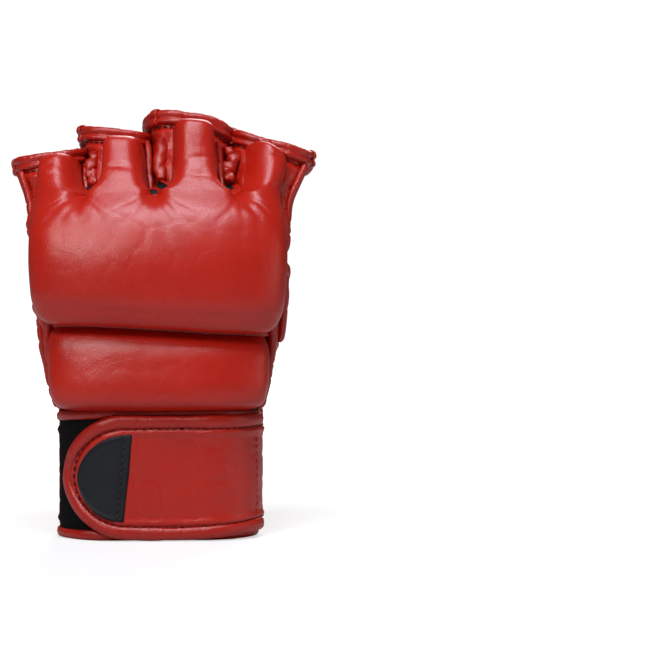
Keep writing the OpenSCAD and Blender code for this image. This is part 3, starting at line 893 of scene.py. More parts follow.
def gusset(side, name):
    """Leather side wall with soft folds that swell past the pads."""
    s, v = grid(22, 110)
    t = mix(CUFF_H - 0.5, 162, v)
    u = mix(-4.0, pad_side_u(t) - 1.0, s)
    middle = np.sin(np.pi * np.clip(s, 0, 1))
    d = 2.2 + 2.4 * middle**0.7 + 0.3 * soft_noise(flat_place(s * 20, t, side * 30), 9.0, 31)
    if side < 0:
        folds = bump(t, 149.5, 8.5) + 0.9 * bump(t + 6 * s, 117, 8.5) - 0.35 * bump(t - 5 * s, 112, 1.6)
        d = d + 3.4 * folds * middle
    else:
        folds = bump(t, 126, 4.0) + 0.55 * bump(t, 150, 14) + 0.5 * bump(t, 96, 7)
        d = d + 2.2 * folds * middle
    slant = flat_place(s * 16 + t * 0.35, t - s * 9)
    wrinkle = ridges(slant, (16.0, 7.5, 5.0), 33 + side, 3.5)
    d = d - 1.3 * wrinkle * middle + 0.8 * soft_noise(slant, (14.0, 8.0, 8.0), 39 + side) * middle
    attach(hand_sheet(name, side_angle(side, u), t, d, PAD_D, RED), "glove", "red_leather", name)


def side_piping(side, name):
    """Piping between the pads and a side wall, with its row of stitches."""
    t = np.linspace(CUFF_H - 0.3, 161, 140)
    u = pad_side_u(t)
    made = hand_edge(name, side_angle(side, u), t, PAD_D + 0.8, 4.4, 4.6, 41 + side)
    attach(made, "glove", "binding", name)
    stitches = hand_stitches(f"{name}_stitches", side_angle(side, u - 4.6), t, 2.7)
    attach(stitches, "glove", "binding")


def side_trims():
    """Tab and knot on the thumb side, and the rolled strip on the other side."""
    t = np.linspace(94, 131, 40)
    share = smooth(t, 94, 131)
    tab = hand_edge("thumb_side_tab", 7.0 + 2.2 * share, t, 4.2 - 0.6 * share, 6.0, 3.4, 35)
    u = np.linspace(-3, 21, 18)
    arch = 3.4 + 0.7 * np.sin(np.pi * (u + 3) / 24)
    knot = hand_edge("thumb_side_knot", u, 126.5 + 0.15 * u, arch, 6.8, 3.2, 36)
    low = hand_edge("little_side_roll", 171.0, np.linspace(CUFF_H, 106, 50), 3.6, 4.2, 3.4, 38, fold=0.3)
    for made in (tab, knot, low):
        attach(made, "glove", "binding")


def hand_lining():
    """Black lining under the back of the hand and its sides."""
    s, v = grid(90, 80)
    u = mix(-4.0, 184.0, s)
    t = mix(base_t(u), 162.0, v)
    fold = 2.4 * bump(t + 2.5 * np.sin(np.radians(u) * 2), 97, 3.2)
    d = np.minimum(0.2 - fold + 0.35 * soft_noise(flat_place(u * 0.9, t), 12.0, 51), 0.9)
    attach(hand_sheet("hand_lining", u, t, d, d - 0.8, BLACK), "glove", "lining", "hand_lining")


# ---------- palm ----------


def band_top(x):
    """Upper edge of the band below the fingers, as a distance at each width."""
    return 171 - 11 * np.minimum(1, (x / 43) ** 2)


def band_bottom(x):
    """Lower edge of the band."""
    return 152 - np.where(x < 0, 0.0036, 0.0064) * x * x


def heel_top(x):
    """Upper edge of the heel panel."""
    return 75.8 - 0.398 * x + 0.002 * x * x


def fold_t(x):
    """Line along which the thumb flap folds."""
    return 78 + 0.415 * (x + 3)


def palm_x(u, half=57.0):
    """Width on the palm at the angle u, where the palm is half wide to each side."""
    return half * signed_pow(np.cos(np.radians(u)), BOXY)


def palm_band():
    """Padded band across the palm below the fingers, bound and sewn along both edges."""
    s, v = grid(110, 22)
    u = mix(182.0, 358.0, s)
    x = palm_x(u)
    low, high = band_bottom(x) + 1.5, band_top(x) - 1.5
    t = mix(low, high, v)
    edge = np.minimum(t - low, high - t)
    flat = flat_place(x, t)
    puff = 0.8 * bump(edge, 6.6, 1.4) - 0.6 * bump(edge, 4.0, 0.9) + 0.25 * soft_noise(flat, 13.0, 61)
    wrinkle = 0.35 * ridges(flat, (6.0, 14.0, 6.0), 63, 5.0)
    d = 1.7 + puff - wrinkle
    attach(hand_sheet("palm_band", u, t, d, 0.35, RED), "glove", "red_leather", "palm_band")
    middle = np.abs(x[:, 0] - 2) < 45
    rims = (
        ("top", u[middle, 0], band_top(x[middle, 0]) - 2.4, -3.1),
        ("bottom", u[:, 0], band_bottom(x[:, 0]) + 2.4, 3.1),
    )
    for name, edge_u, line, inward in rims:
        bound = hand_edge(f"palm_band_{name}_binding", edge_u, line, 0.1, 5.2, 4.4, 65)
        attach(bound, "glove", "binding", f"palm_band_{name}_binding")
        sewn = hand_stitches(f"palm_band_{name}_stitches", edge_u, line + inward, 1.85, radius=SEAM_THREAD)
        attach(sewn, "glove", "binding")


# The leather that joins each outer stall to the palm band: its angles on the hand and on the stall,
# from the hand's side to the stall's inner edge
BRIDGES = {"pinky": ((180.0, 219.0), (180.0, 318.0)), "index": ((360.0, 325.0), (362.0, 222.0))}


def bridge_points(name, s, v, lift):
    """Points that pass from the palm band to a stall's own surface."""
    f = FINGERS[name]
    (u0, u1), (a0, a1) = BRIDGES[name]
    t = mix(151.0, 181.0, v)
    palm = skin(mix(u0, u1, s), t, 1.9 + lift)
    stall = finger_point(f, mix(a0, a1, s), t, 1.0 + lift)
    return mix(palm, stall, smooth(v, 0.12, 0.92)[..., None])


def palm_bridge(name):
    """Crumpled leather between the palm band and an outer stall, with a rolled inner edge."""
    s, v = grid(40, 44)
    flat = flat_place(s * 30, v * 30, len(name))
    crumple = 0.45 * soft_noise(flat, 9.0, 321) - 0.7 * ridges(flat, (7.0, 12.0, 6.0), 323, 5.0)
    crumple = crumple * np.sin(np.pi * v) ** 0.6
    top = bridge_points(name, s, v, crumple)
    made = sheet_object(f"{name}_bridge", top, bridge_points(name, s, v, crumple - 1.1), RED)
    attach_finger(made, name, "red_leather")
    q = np.linspace(0.12, 1, 40)
    path = bridge_points(name, 1.0, q, -1.0)
    up = unit(bridge_points(name, 1.0, q, 1.0) - bridge_points(name, 1.0, q, 0.0))
    attach_finger(rolled_edge(f"{name}_bridge_edge", path, up, 4.6, 4.2, 325), name, "binding")


def palm_side_strip():
    """Narrow strip of leather down the little finger's side of the palm opening."""
    s, v = grid(12, 60)
    t = mix(88, 146, v)
    u = mix(176.0, 201.0 + 2.0 * np.sin(v * 3), s)
    flat = flat_place(s * 12, t)
    d = 1.5 + 0.5 * np.sin(np.pi * s) + 0.35 * soft_noise(flat, 7.0, 71)
    d = d - 0.5 * ridges(flat, (9, 5, 5), 72, 5)
    attach(hand_sheet("palm_side_strip", u, t, d, 0.3, RED), "glove", "red_leather", "palm_side_strip")
    attach(hand_edge("palm_side_strip_edge", u[-1], t[-1], 0.2, 3.4, 3.0, 73), "glove", "binding")


def heel_panel():
    """Padded heel of the hand, its bound and sewn upper edge and its patch."""
    s, v = grid(90, 40)
    u = mix(177.0, palm_u(46.0, CUFF_H), s)
    x = palm_x(u, 49.5)
    high = heel_top(x) - 1.5
    low = np.minimum(base_t(u) - 1.0, high - 3)
    t = mix(low, high, v)
    flat = flat_place(x, t)
    edge = high - t
    folds = 0.9 * bump(x + 0.35 * (t - 70), -38, 2.4) + 0.6 * bump(x + 0.3 * (t - 70), -45, 2.0)
    folds = folds + 0.5 * bump(x + 0.5 * (t - 66), -22, 2.6)
    ridge = 0.8 * bump(edge, 6.9, 1.4) - 0.6 * bump(edge, 4.1, 0.9)
    d = 3.0 + ridge + 0.3 * soft_noise(flat, 14.0, 81) - folds * (1 - v) ** 0.5
    d = d - 0.3 * ridges(flat, (7.0, 16.0, 6.0), 83, 6.0)
    made = hand_sheet("heel_panel", u, t, np.maximum(d, 2.1), 1.9, RED)
    attach(made, "glove", "red_leather", "heel_panel")
    edge_u, line = u[:, 0], heel_top(x[:, 0])
    bound = hand_edge("heel_binding", edge_u, line - 2.4, 1.7, 5.2, 3.6, 85)
    attach(bound, "glove", "binding", "heel_binding")
    stitches = hand_stitches("heel_stitches", edge_u, line - 5.6, 3.0, radius=SEAM_THREAD)
    attach(stitches, "glove", "binding")
    heel_patch()


def heel_patch():
    """Flat patch sewn over the foot of the heel panel."""
    s, v = grid(40, 10)
    x = mix(-30.0, 12.0, s)
    low = base_t(palm_u(x, CUFF_H)) - 0.5
    high = low + 8.0 - 0.15 * (x + 30)
    t = mix(low, high, v)
    u = palm_u(x, t)
    d = 4.3 + 0.15 * soft_noise(flat_place(x, t), 9.0, 87)
    attach(hand_sheet("heel_patch", u, t, d, 3.1, RED), "glove", "red_leather", "heel_patch")
    sewn_u, sewn_t = u[:, -3], t[:, -3]
    stitches = hand_stitches("heel_patch_stitches", sewn_u, sewn_t, 4.2, pitch=3.2, length=2.0, radius=0.3)
    attach(stitches, "glove", "binding")


# ---------- thumb panel and flap ----------

# The flap's left and right edges at its fold, and its two upper corners as (width, distance)
FLAP_LOW_X = (-1.0, 50.0)
FLAP_TIP = ((2.0, 136.5), (29.0, 139.5))
PANEL_SHARE = 0.3


def flap_left(v, inset):
    x = mix(FLAP_LOW_X[0], FLAP_TIP[0][0], v) - 10.5 * np.sin(np.radians(155 * v)) + inset
    return x, mix(fold_t(FLAP_LOW_X[0]), FLAP_TIP[0][1] - inset, v)


def flap_right(v, inset):
    x = mix(FLAP_LOW_X[1], FLAP_TIP[1][0], v**0.8) - inset
    return x, mix(fold_t(FLAP_LOW_X[1]), FLAP_TIP[1][1] - inset, v)


def flap_place(s, v, inset=0.0):
    """Width and distance on the flap, from its left edge to its right and from fold to tip."""
    (lx, lt), (rx, rt) = flap_left(v, inset), flap_right(v, inset)
    x = mix(lx, rx, s)
    t = mix(lt, rt, s) + 6.5 * v * v * np.sin(np.pi * s) ** 0.8
    return x, t


def flap_share(v):
    """Share of the way up the flap, where its fold lies PANEL_SHARE of the way up the leather."""
    return np.clip((v - PANEL_SHARE) / (1 - PANEL_SHARE), 0, 1)


def thumb_leather():
    """Thumb panel and flap in one piece of leather."""
    s, v = grid(70, 90)
    lower = v < PANEL_SHARE
    x, t = flap_place(s, flap_share(v), 2.2)
    panel_x = mix(-6.0, 52.0, s)
    base = base_t(palm_u(panel_x, CUFF_H)) - 1
    share = np.clip(v / PANEL_SHARE, 0, 1)
    start_x, start_t = flap_place(s, 0 * v, 2.2)
    x = np.where(lower, mix(panel_x, start_x, share), x)
    t = np.where(lower, mix(base, start_t, share), t)
    u = palm_u(x, t)
    u = np.where(lower & (s > 0.9), mix(u, 361.0, (s - 0.9) / 0.1), u)
    d = thumb_leather_height(x, t, s, v)
    made = hand_sheet("thumb_flap_leather", u, t, d, d - 1.15, RED)
    attach_flap(made, "red_leather", "thumb_panel", "thumb_flap")


# Wrinkles that run slantwise over the base of the thumb: place, depth and half width
THUMB_WRINKLES = ((108, 1.1, 2.3), (115, 0.9, 2.0), (122, 0.8, 2.4), (98, 0.8, 2.2), (90, 0.6, 2.4))


def thumb_leather_height(x, t, s, v):
    """Height of the thumb's leather: sewn edges on the flap and wrinkles about its fold."""
    flat = flat_place(x, t)
    edge = np.minimum(np.minimum(s, 1 - s) * 45, (1 - v) * 60)
    rise = 1.3 * smooth(t - fold_t(x), -6, 6)
    on_flap = smooth(flap_share(v), 0.02, 0.2)
    ridge = (1.1 * bump(edge, 6.6, 1.4) - 0.8 * bump(edge, 3.9, 0.9)) * on_flap
    fade = 1 - smooth(t - fold_t(x), 8, 26)
    line = t + 0.75 * x
    folds = sum(depth * bump(line, place, width) for place, depth, width in THUMB_WRINKLES)
    folds = folds + 0.6 * bump(line + 0.15 * x, 134, 2.2)
    wrinkle = folds * fade * smooth(x, 2, 22) * (0.65 + 0.35 * noise(flat, 9.0, 91))
    d = 1.9 + rise + ridge - 1.6 * wrinkle + 0.35 * soft_noise(flat, 12.0, 93) * fade
    return np.maximum(d + 0.12 * soft_noise(flat, 6.0, 94), 1.0)


def thumb_flap_lining():
    s, v = grid(30, 30)
    x, t = flap_place(s, v, 3.5)
    made = hand_sheet("thumb_flap_lining", palm_u(x, t), t, 1.25, 0.5, BLACK)
    attach_flap(made, "lining", "thumb_flap_lining")


def flap_rim(inset, count=60):
    """Outline of the flap from under the heel panel, round its tip and down to the thumb hole."""
    q = np.linspace(0, 1, count)
    left = flap_place(0 * q, q, inset)
    tip = flap_place(q, 0 * q + 1, inset)
    right = flap_place(0 * q + 1, 1 - q, inset)
    foot = np.linspace(0, 1, 10)[:-1]
    foot_x, foot_t = mix(left[0][0] + 4.5, left[0][0], foot), mix(left[1][0] - 8, left[1][0], foot)
    side = np.linspace(0, 1, 12)[1:]
    side_x, side_t = mix(right[0][-1], 57.5, side), mix(right[1][-1], right[1][-1] - 3.5, side**1.5)
    x = np.concatenate([foot_x, left[0], tip[0][1:], right[0][1:], side_x])
    t = np.concatenate([foot_t, left[1], tip[1][1:], right[1][1:], side_t])
    flat = np.stack([x, t], -1)
    for _ in range(14):
        flat[1:-1] = (flat[:-2] + 2 * flat[1:-1] + flat[2:]) / 4
    return flat[:, 0], flat[:, 1]


def thumb_flap_binding():
    """Rolled rim of the flap and the stitches inside it."""
    x, t = flap_rim(2.3)
    d = 1.2 - 3.4 * smooth(heel_top(x) - t, -5.0, 1.0)
    made = hand_edge("thumb_flap_binding", palm_u(x, t), t, d, 5.8, 5.0, 97)
    attach_flap(made, "binding", "thumb_flap_binding")
    x, t = flap_rim(6.0)
    attach_flap(hand_stitches("thumb_flap_stitches", palm_u(x, t), t, 2.75, radius=SEAM_THREAD), "binding")


# Corners of the thumb pad's outline: width and distance
THUMB_PAD = (
    (-4.5, 123.5), (-3, 107), (1, 95), (12, 86.5), (24, 89),
    (32, 102), (34, 117), (28.5, 128.5), (21, 134), (10, 129),
)  # fmt: skip


def rounded_outline(corners, count, rounds):
    """Closed outline through the corners, softened the given number of times."""
    flat, _ = resample(np.array(corners), [], 1.0, True)
    flat, _ = resample(flat, [], 1.0, True)
    for _ in range(rounds):
        flat = (np.roll(flat, 1, 0) + 2 * flat + np.roll(flat, -1, 0)) / 4
    length = np.linalg.norm(np.roll(flat, -1, 0) - flat, axis=1).sum()
    return resample(flat, [], length / count, True)[0]


def thumb_pad():
    """Raised drop-shaped pad with a crisp seam round it."""
    outline = rounded_outline(THUMB_PAD, 96, 12)
    centre = outline.mean(0)
    share = np.concatenate([[1.02, 1.0, 0.985], np.linspace(0.96, 0.03, 18)])
    around, size = np.meshgrid(np.arange(len(outline)), share, indexing="ij")
    x = centre[0] + size * (outline[around, 0] - centre[0])
    t = centre[1] + size * (outline[around, 1] - centre[1])
    height = 6.4 * swell((1.02 - size) / 0.2) - 0.5 * smooth(size, 0.6, 0.0)
    d = 2.7 + height + 0.12 * soft_noise(flat_place(x, t), 10.0, 99)
    top = skin(palm_u(x, t), t, d)
    m, n = top.shape[:2]
    centre = top[:, -1].mean(0)
    points = np.concatenate([top.reshape(-1, 3), [centre]])
    faces = [list(f) for f in grid_faces(m, n, True)]
    faces += [[i * n + n - 1, ((i + 1) % m) * n + n - 1, m * n] for i in range(m)]
    made = face_outwards(make_object("thumb_pad", points, faces, RED))
    attach_flap(made, "red_leather", "thumb_pad_foam", "thumb_pad_cover")


def thumb_hole_binding():
    t = np.linspace(CUFF_H - 2, 127, 70)
    made = hand_edge("thumb_hole_binding", 353.5, t, 0.2, 4.6, 3.4, 101)
    attach(made, "glove", "binding", "thumb_hole_binding")


# ---------- finger stalls ----------

# Angle and distance of each stall's air hole
VENTS = {"pinky": (258.0, 171.8), "ring": (292.0, 182.0), "middle": (262.0, 174.0), "index": (263.0, 177.0)}
STALL_LOW = STALL_T - 0.5


def rim_flare(a, below):
    """How far a stall widens towards its rim, mostly at its two sides."""
    return 1.5 * (1 - smooth(below, 1.0, 18.0)) * np.abs(np.cos(np.radians(a)))


def sleeve_height(f, index, a, t):
    """Height of a stall's leather: a ridge under the hem's stitches, and crumpled sides."""
    flat = finger_point(f, a, t, 0)
    below = rim_t(f, a) - t
    second = 0.9 * bump(below, 10.2, 1.5) - 0.5 * bump(below, 7.5, 0.9)
    crumple = 0.55 * soft_noise(flat, (7.0, 7.0, 9.0), 111 + index)
    crumple = crumple - 0.8 * ridges(flat, (8.0, 6.0, 7.0), 121 + index, 5.0)
    sides = np.abs(np.cos(np.radians(a))) ** 0.7
    return rim_flare(a, below) + second + crumple * mix(0.45, 1.25, sides) * smooth(below, 3.0, 7.0)


def stall_sheet(name, piece, a, t, top, low, material):
    """Sheet all round a stall between two heights above its surface."""
    outer, inner = (finger_point(FINGERS[name], a, t, d) for d in (top, low))
    return sheet_object(f"{name}_{piece}", outer, inner, material, True)


def finger_sleeve(index, name):
    """A stall's leather and its lining."""
    f = FINGERS[name]
    a, v = loop_grid(360, 72, 34)
    t = mix(STALL_LOW, rim_t(f, a) - 1.5, v)
    d = sleeve_height(f, index, a, t)
    made = stall_sheet(name, "sleeve", a, t, d, d - 1.1, RED)
    attach_finger(made, name, "red_leather", f"{name}_sleeve")
    finger_lining(index, name, a, v)


def finger_lining(index, name, a, v):
    """Black lining, sewn in below the hem's turned-over leather."""
    f = FINGERS[name]
    t = mix(STALL_LOW + 0.3, rim_t(f, a) - 5.2, v)
    below = rim_t(f, a) - t
    folds = 0.5 * ridges(finger_point(f, a, t, 0), (5.0, 5.0, 16.0), 125 + index, 3.0)
    d = np.minimum(sleeve_height(f, index, a, t), 0.6) - 2.0 - folds
    d = mix(rim_flare(a, below) - 2.5, d, smooth(below, 6.0, 10.0))
    attach_finger(stall_sheet(name, "lining", a, t, d + 0.6, d, BLACK), name, "lining", f"{name}_lining")


# Section of a bound rim, as (towards the rim, away from the hand): an upper roll, a seam and a
# lower fold outside, and plain turned-over leather inside
HEM_SECTION = [
    (-3.6, 0.1), (-3.4, 1.2), (-2.6, 1.75), (-1.5, 1.65), (-0.7, 0.9), (-0.2, 1.2), (0.7, 2.3), (2.0, 2.5),
    (3.1, 2.0), (3.7, 0.7), (3.5, -0.8), (2.5, -1.9), (1.0, -2.2), (-0.8, -2.2), (-2.6, -2.4), (-3.7, -2.1),
    (-3.9, -1.0),
]  # fmt: skip
HEM_OUT = 0.2


def hem_path(f, a, drop):
    """Points and outward directions round a stall, drop below its rim."""
    t = rim_t(f, a) - drop
    return finger_point(f, a, t, rim_flare(a, drop) + HEM_OUT), finger_up(f, a, t)


def rim_way(f):
    """Direction of the hand's middle line at a stall's rim."""
    return spine(np.array(f.rim_back + 1.0)) - spine(np.array(f.rim_back - 1.0))


def finger_hem(index, name):
    """A stall's bound rim and its row of stitches."""
    f = FINGERS[name]
    a = np.linspace(0, 360, 160, endpoint=False)
    path, up = hem_path(f, a, 3.2)
    path, (up,) = resample(path, [up], 0.8, True)
    scale = edge_scale(path, 131 + index, fold=0.16, ends=(False, False))
    rough = (4.5, 0.16, 137 + index)
    made = sweep_object(f"{name}_hem", path, up, np.array(HEM_SECTION), BOUND, True, scale, rim_way(f), rough)
    attach(made, name, "binding", f"{name}_hem")
    place, up = hem_path(f, a, 7.5)
    stitches = stitch_object(f"{name}_stitches", place + up * 0.1, up, 3.3, 2.3, 0.36, closed=True)
    attach(stitches, name, "binding")


# Where each rim's binding is wrapped over itself: the angles round the stall, and the half width
# and half height of the wrap
HEM_WRAPS = {"pinky": (182.0,), "ring": (168.0,), "middle": (138.0, 12.0), "index": (168.0, 4.0)}
WRAP_HALF_SIZE = (2.3, 0.75)


def hem_wrap(name, number, angle):
    """Short strip folded over a rim, where the ends of its binding meet."""
    f = FINGERS[name]
    rim = np.array(HEM_SECTION)
    path, up = hem_path(f, np.array([angle, angle + 0.5]), 3.2)
    ahead = unit(path[1] - path[0])
    over = unit(rim_way(f))
    over = unit(over - ahead * (over @ ahead))
    line = path[0] + rim[:, :1] * over * 1.06 + rim[:, 1:] * up[0] * 1.1
    centre = line.mean(0)
    line, _ = resample(line, [], 0.7)
    section = signed_pow(np.stack([np.cos(RING), np.sin(RING)], -1), 0.7) * WRAP_HALF_SIZE
    rough = (3.0, 0.2, 139)
    made = sweep_object(f"{name}_hem_wrap_{number}", line, unit(line - centre), section, BOUND, rough=rough)
    attach(made, name, "binding")


# Rolled strip from the corner of an outer finger's hem down the side of the hand: the angle on the
# finger and on the hand, and where the strip ends
SIDE_ROLLS = {"pinky": (156.0, 171.0, 148.0), "index": (24.0, 10.0, 132.0)}


def side_roll(name):
    f = FINGERS[name]
    a, u, low = SIDE_ROLLS[name]
    t = np.linspace(rim_t(f, a) - 6.5, low, 60)
    on_hand = smooth(t, 172, 154)[..., None]
    sunk = 4.5 * smooth(t, low + 9, low)
    place = finger_point(f, a, t, rim_flare(a, rim_t(f, a) - t) + 0.2 - sunk)
    path = mix(place, skin(u, t, 3.2 - sunk), on_hand)
    up = unit(mix(finger_up(f, a, t), skin_up(u, t, 3.4), on_hand))
    attach_finger(rolled_edge(f"{name}_side_roll", path, up, 4.2, 3.6, 351, fold=0.3), name, "binding")


# Rings of a small hole, from its middle, painted near-black as the shade inside it, to its rim: share of the
# radius and height
HOLE_RINGS = ((0.02, 0.14), (0.8, 0.18), (1.0, 0.42), (1.4, 0.46), (2.0, -0.5))


def hole_object(name, place, half_x, half_z, lean=0.0):
    """A small hole with a pressed rim, drawn as a disc whose middle is painted near-black as the shade inside
    the hole. place(x, z, height) gives its points.
    """
    a = np.linspace(0, 2 * np.pi, 28, endpoint=False)
    rings = []
    for share, lift in HOLE_RINGS:
        along = half_z * np.cos(a) * share
        across = half_x * np.sin(a) * share
        x = along * math.sin(lean) + across * math.cos(lean)
        z = along * math.cos(lean) - across * math.sin(lean)
        rings.append(place(x, z, lift))
    points = np.stack(rings, 1)
    made = make_object(name, points.reshape(-1, 3), grid_faces(28, len(HOLE_RINGS), True), BOUND)
    made.data.materials.append(HOLE_PAINTED_SHADE)
    # The middle faces get the near-black painted shade
    dark = [1 if i % (len(HOLE_RINGS) - 1) < 2 else 0 for i in range(len(made.data.polygons))]
    made.data.polygons.foreach_set("material_index", dark)
    return made


def finger_vent(index, name):
    """Small almond-shaped air hole on the palm side of a finger, with painted shade in its middle."""
    f = FINGERS[name]
    u0, t0 = VENTS[name]

    def place(x, z, lift):
        u, t = u0 + x * 4.4, t0 + z
        return finger_point(f, u, t, sleeve_height(f, index, u, t) + lift)

    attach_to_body(hole_object(f"{name}_vent", place, 0.95, 1.35, math.radians(35)), name)


# How far up the leather in each gap reaches
WEB_TOPS = (189.5, 195.0, 193.0)


def stall_side(f, t, side):
    """Width at a stall's left side (-1) or right side (1)."""
    centre, half, _ = finger_size(f, t)
    return centre + side * half


def web_points(k, s, t, lift):
    """Points of the leather that closes a gap: it falls from the pad's edge to between the stalls."""
    left, right = FINGERS[LOBE_ORDER[k]], FINGERS[LOBE_ORDER[k + 1]]
    under = 0.7 + 3.2 * smooth(t, 170.0, 164.0)
    x = mix(stall_side(left, t, 1) - under, stall_side(right, t, -1) + under, s)
    depth = mix(18.6, 4.5 - 6.0 * np.sin(np.pi * s), smooth(t, 158.0, 176.0)) + lift
    out = spine(t) + back_way(t) * depth[..., None]
    out[..., 0] += x
    return out


def finger_web(k):
    """Crumpled leather at the bottom of the gap between two fingers."""
    s, v = grid(16, 44)
    notch = 2.5 * np.sin(np.pi * s)
    t = mix(155.0, WEB_TOPS[k] - notch, v)
    flat = flat_place(s * 8, t, 20 * k)
    crumple = 1.1 * soft_noise(flat, (4.0, 5.0, 5.0), 301 + k) + 1.2 * np.sin(t * 0.55 + 5 * s + k)
    crumple = crumple * smooth(t, 166, 171)
    top = web_points(k, s, t, crumple)
    name = LOBE_ORDER[k + 1]
    made = sheet_object(f"web_{LOBE_ORDER[k]}_{name}", top, web_points(k, s, t, crumple - 1.1), RED)
    attach_finger(made, name, "red_leather")


# Folds of leather in the gaps: the gap, the finger whose size sets their depth, the width and distance where
# they start and end, their half width, and how strongly they crumple
SLIT_FOLDS = (
    (0, "ring", (-33.4, 168.0), (-33.0, 184.0), 3.1, 0.7),
    (0, "pinky", (-36.0, 165.0), (-36.6, 178.0), 1.5, 0.35),
    (1, "ring", (-4.6, 164.0), (-6.0, 190.0), 1.7, 0.3),
    (1, "middle", (0.0, 169.5), (0.6, 189.0), 3.4, 0.3),
    (2, "middle", (30.2, 165.0), (28.4, 187.0), 1.4, 0.3),
    (2, "index", (33.6, 169.5), (34.6, 186.0), 3.6, 0.85),
)


def slit_fold(number, k, name, start, end, half, crumple):
    """A roll of leather in a gap, thin at its ends."""
    q = np.linspace(0, 1, 44)
    t = mix(start[1], end[1], q)
    x = mix(start[0], end[0], q) + 0.5 * half * crumple * np.sin(q * 9 + k)
    depth = finger_size(FINGERS[name], t)[2] - 1.0 - 2.5 * np.sin(np.pi * q) ** 0.7
    path = spine(t) + back_way(t) * depth[..., None]
    path[..., 0] += x
    section = np.stack([half * np.cos(RING), 0.75 * half * np.sin(RING)], -1)
    taper = 0.3 + 0.7 * np.sqrt(np.sin(np.pi * mix(0.07, 0.93, q)))
    twist = 1 + 0.22 * crumple * np.sin(q * 21 + number)
    scale = np.stack([taper * twist, taper / twist], -1)
    rough = (4.2, 0.5 * crumple, 341 + number)
    made = sweep_object(f"slit_fold_{number}", path, back_way(t), section, BOUND, scale=scale, rough=rough)
    attach_finger(made, name, "red_leather")


# Small holes at the bottom of the gaps, their middles painted near-black as shade: the gap, width, distance
# and half sizes
SLIT_HOLES = (
    (0, -33.8, 165.2, 1.9, 2.0),
    (1, -3.4, 162.8, 2.2, 1.8),
    (1, 1.8, 166.6, 2.8, 2.6),
    (2, 33.2, 166.4, 2.8, 2.6),
)


def slit_hole(number, k, x0, t0, half_x, half_t):
    """Opening in the leather of a gap, drawn as a disc with painted shade in its middle."""

    def place(x, z, lift):
        t = t0 + z
        left = stall_side(FINGERS[LOBE_ORDER[k]], t, 1) - 3.9
        right = stall_side(FINGERS[LOBE_ORDER[k + 1]], t, -1) + 3.9
        return web_points(k, (x0 + x - left) / (right - left), t, 0.35 + lift)

    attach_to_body(hole_object(f"slit_hole_{number}", place, half_x, half_t), "glove")


# ---------- cuff ----------

# Shares of the way round where the cuff's leather starts, and where its loop fabric starts
LEATHER_START = 0.245
LOOP_START = 0.848
HALF_CIRCLE = np.pi * CUFF_R
TRACK_LENGTH = 4 * CUFF_FLAT + 2 * HALF_CIRCLE


def track_points(share, d, z):
    """Points on the cuff's oval at the share of its way round, d outside its inner face.

    The way round runs along the front towards the thumb, then back behind the wrist.
    """
    share, d, z = np.broadcast_arrays(*(np.asarray(v, float) for v in (share, d, z)))
    front = (share % 1.0) * TRACK_LENGTH
    right = front - 2 * CUFF_FLAT
    back = right - HALF_CIRCLE
    left = back - 2 * CUFF_FLAT
    radius = CUFF_R + d
    a = np.where(left < 0, right / CUFF_R - np.pi / 2, left / CUFF_R + np.pi / 2)
    across, out = radius * np.cos(a), radius * np.sin(a)
    parts = [right < 0, back < 0, left < 0]
    x = np.select(parts, [-CUFF_FLAT + front, CUFF_FLAT + across, CUFF_FLAT - back], -CUFF_FLAT + across)
    y = np.select(parts, [-radius, out, radius], out)
    return np.stack([x, y, z], -1)


def track_up(share):
    return unit(track_points(share, 1.0, 0.0) - track_points(share, 0.0, 0.0))


def track_sheet(name, share, z, top, low, material, wrap=False):
    """Sheet on the cuff between two distances from its inner face."""
    return sheet_object(name, track_points(share, top, z), track_points(share, low, z), material, wrap)


def cuff_top(y):
    """Height of the cuff's slanted top, which is lower on the palm side."""
    return CUFF_H + 0.3 - CUFF_DROP * (y + CUFF_R + CUFF_OUT) / (2 * (CUFF_R + CUFF_OUT))


def left_swell(share):
    """How far the cuff stands out at the strap's free end."""
    return 2.8 * bump(share, 0.875, 0.08)


def cuff_sheet(name, first, last, material, lift, count=170):
    """Part of the cuff's outside, between two shares of the way round."""
    s, v = grid(count, 50)
    share = mix(first, last, s)
    y = track_points(share, CUFF_OUT, 0.0)[..., 1]
    top = cuff_top(y) - 2.0
    z = mix(2.0, top, v)
    place = track_points(share, 0.0, z)
    edge = np.minimum(z - 2.0, top - z)
    ridge = 0.9 * bump(edge, 6.8, 1.5) - 0.6 * bump(edge, 3.9, 0.9)
    waves = 0.35 * soft_noise(place, (16.0, 16.0, 22.0), 141)
    wrinkle = 0.4 * ridges(place, (14.0, 14.0, 9.0), 143, 6.0)
    d = CUFF_OUT - 0.3 + lift + left_swell(share) + ridge + (waves - wrinkle) * smooth(edge, 3, 9)
    return track_sheet(name, share, z, d, 2.4, material)


def cuff():
    """The cuff's leather, its loop fabric, its lining and its two rims."""
    made = cuff_sheet("cuff_band", LEATHER_START, LOOP_START, RED, 0.0)
    attach(made, "glove", "red_leather", "cuff_band", "cuff_elastic")
    panel = cuff_sheet("cuff_loop_panel", LOOP_START, 1 + LEATHER_START, PILE, -0.3, 110)
    attach(panel, "glove", "loop_fabric", "cuff_loop_panel")
    cuff_lining()
    share = np.linspace(0, 1, 260, endpoint=False)
    top = cuff_top(track_points(share, CUFF_OUT, 0.0)[..., 1])
    cuff_binding("cuff_top_binding", share, top - 2.4, -3.5)
    cuff_binding("cuff_bottom_binding", share, 2.4 + 0 * top, 3.5)


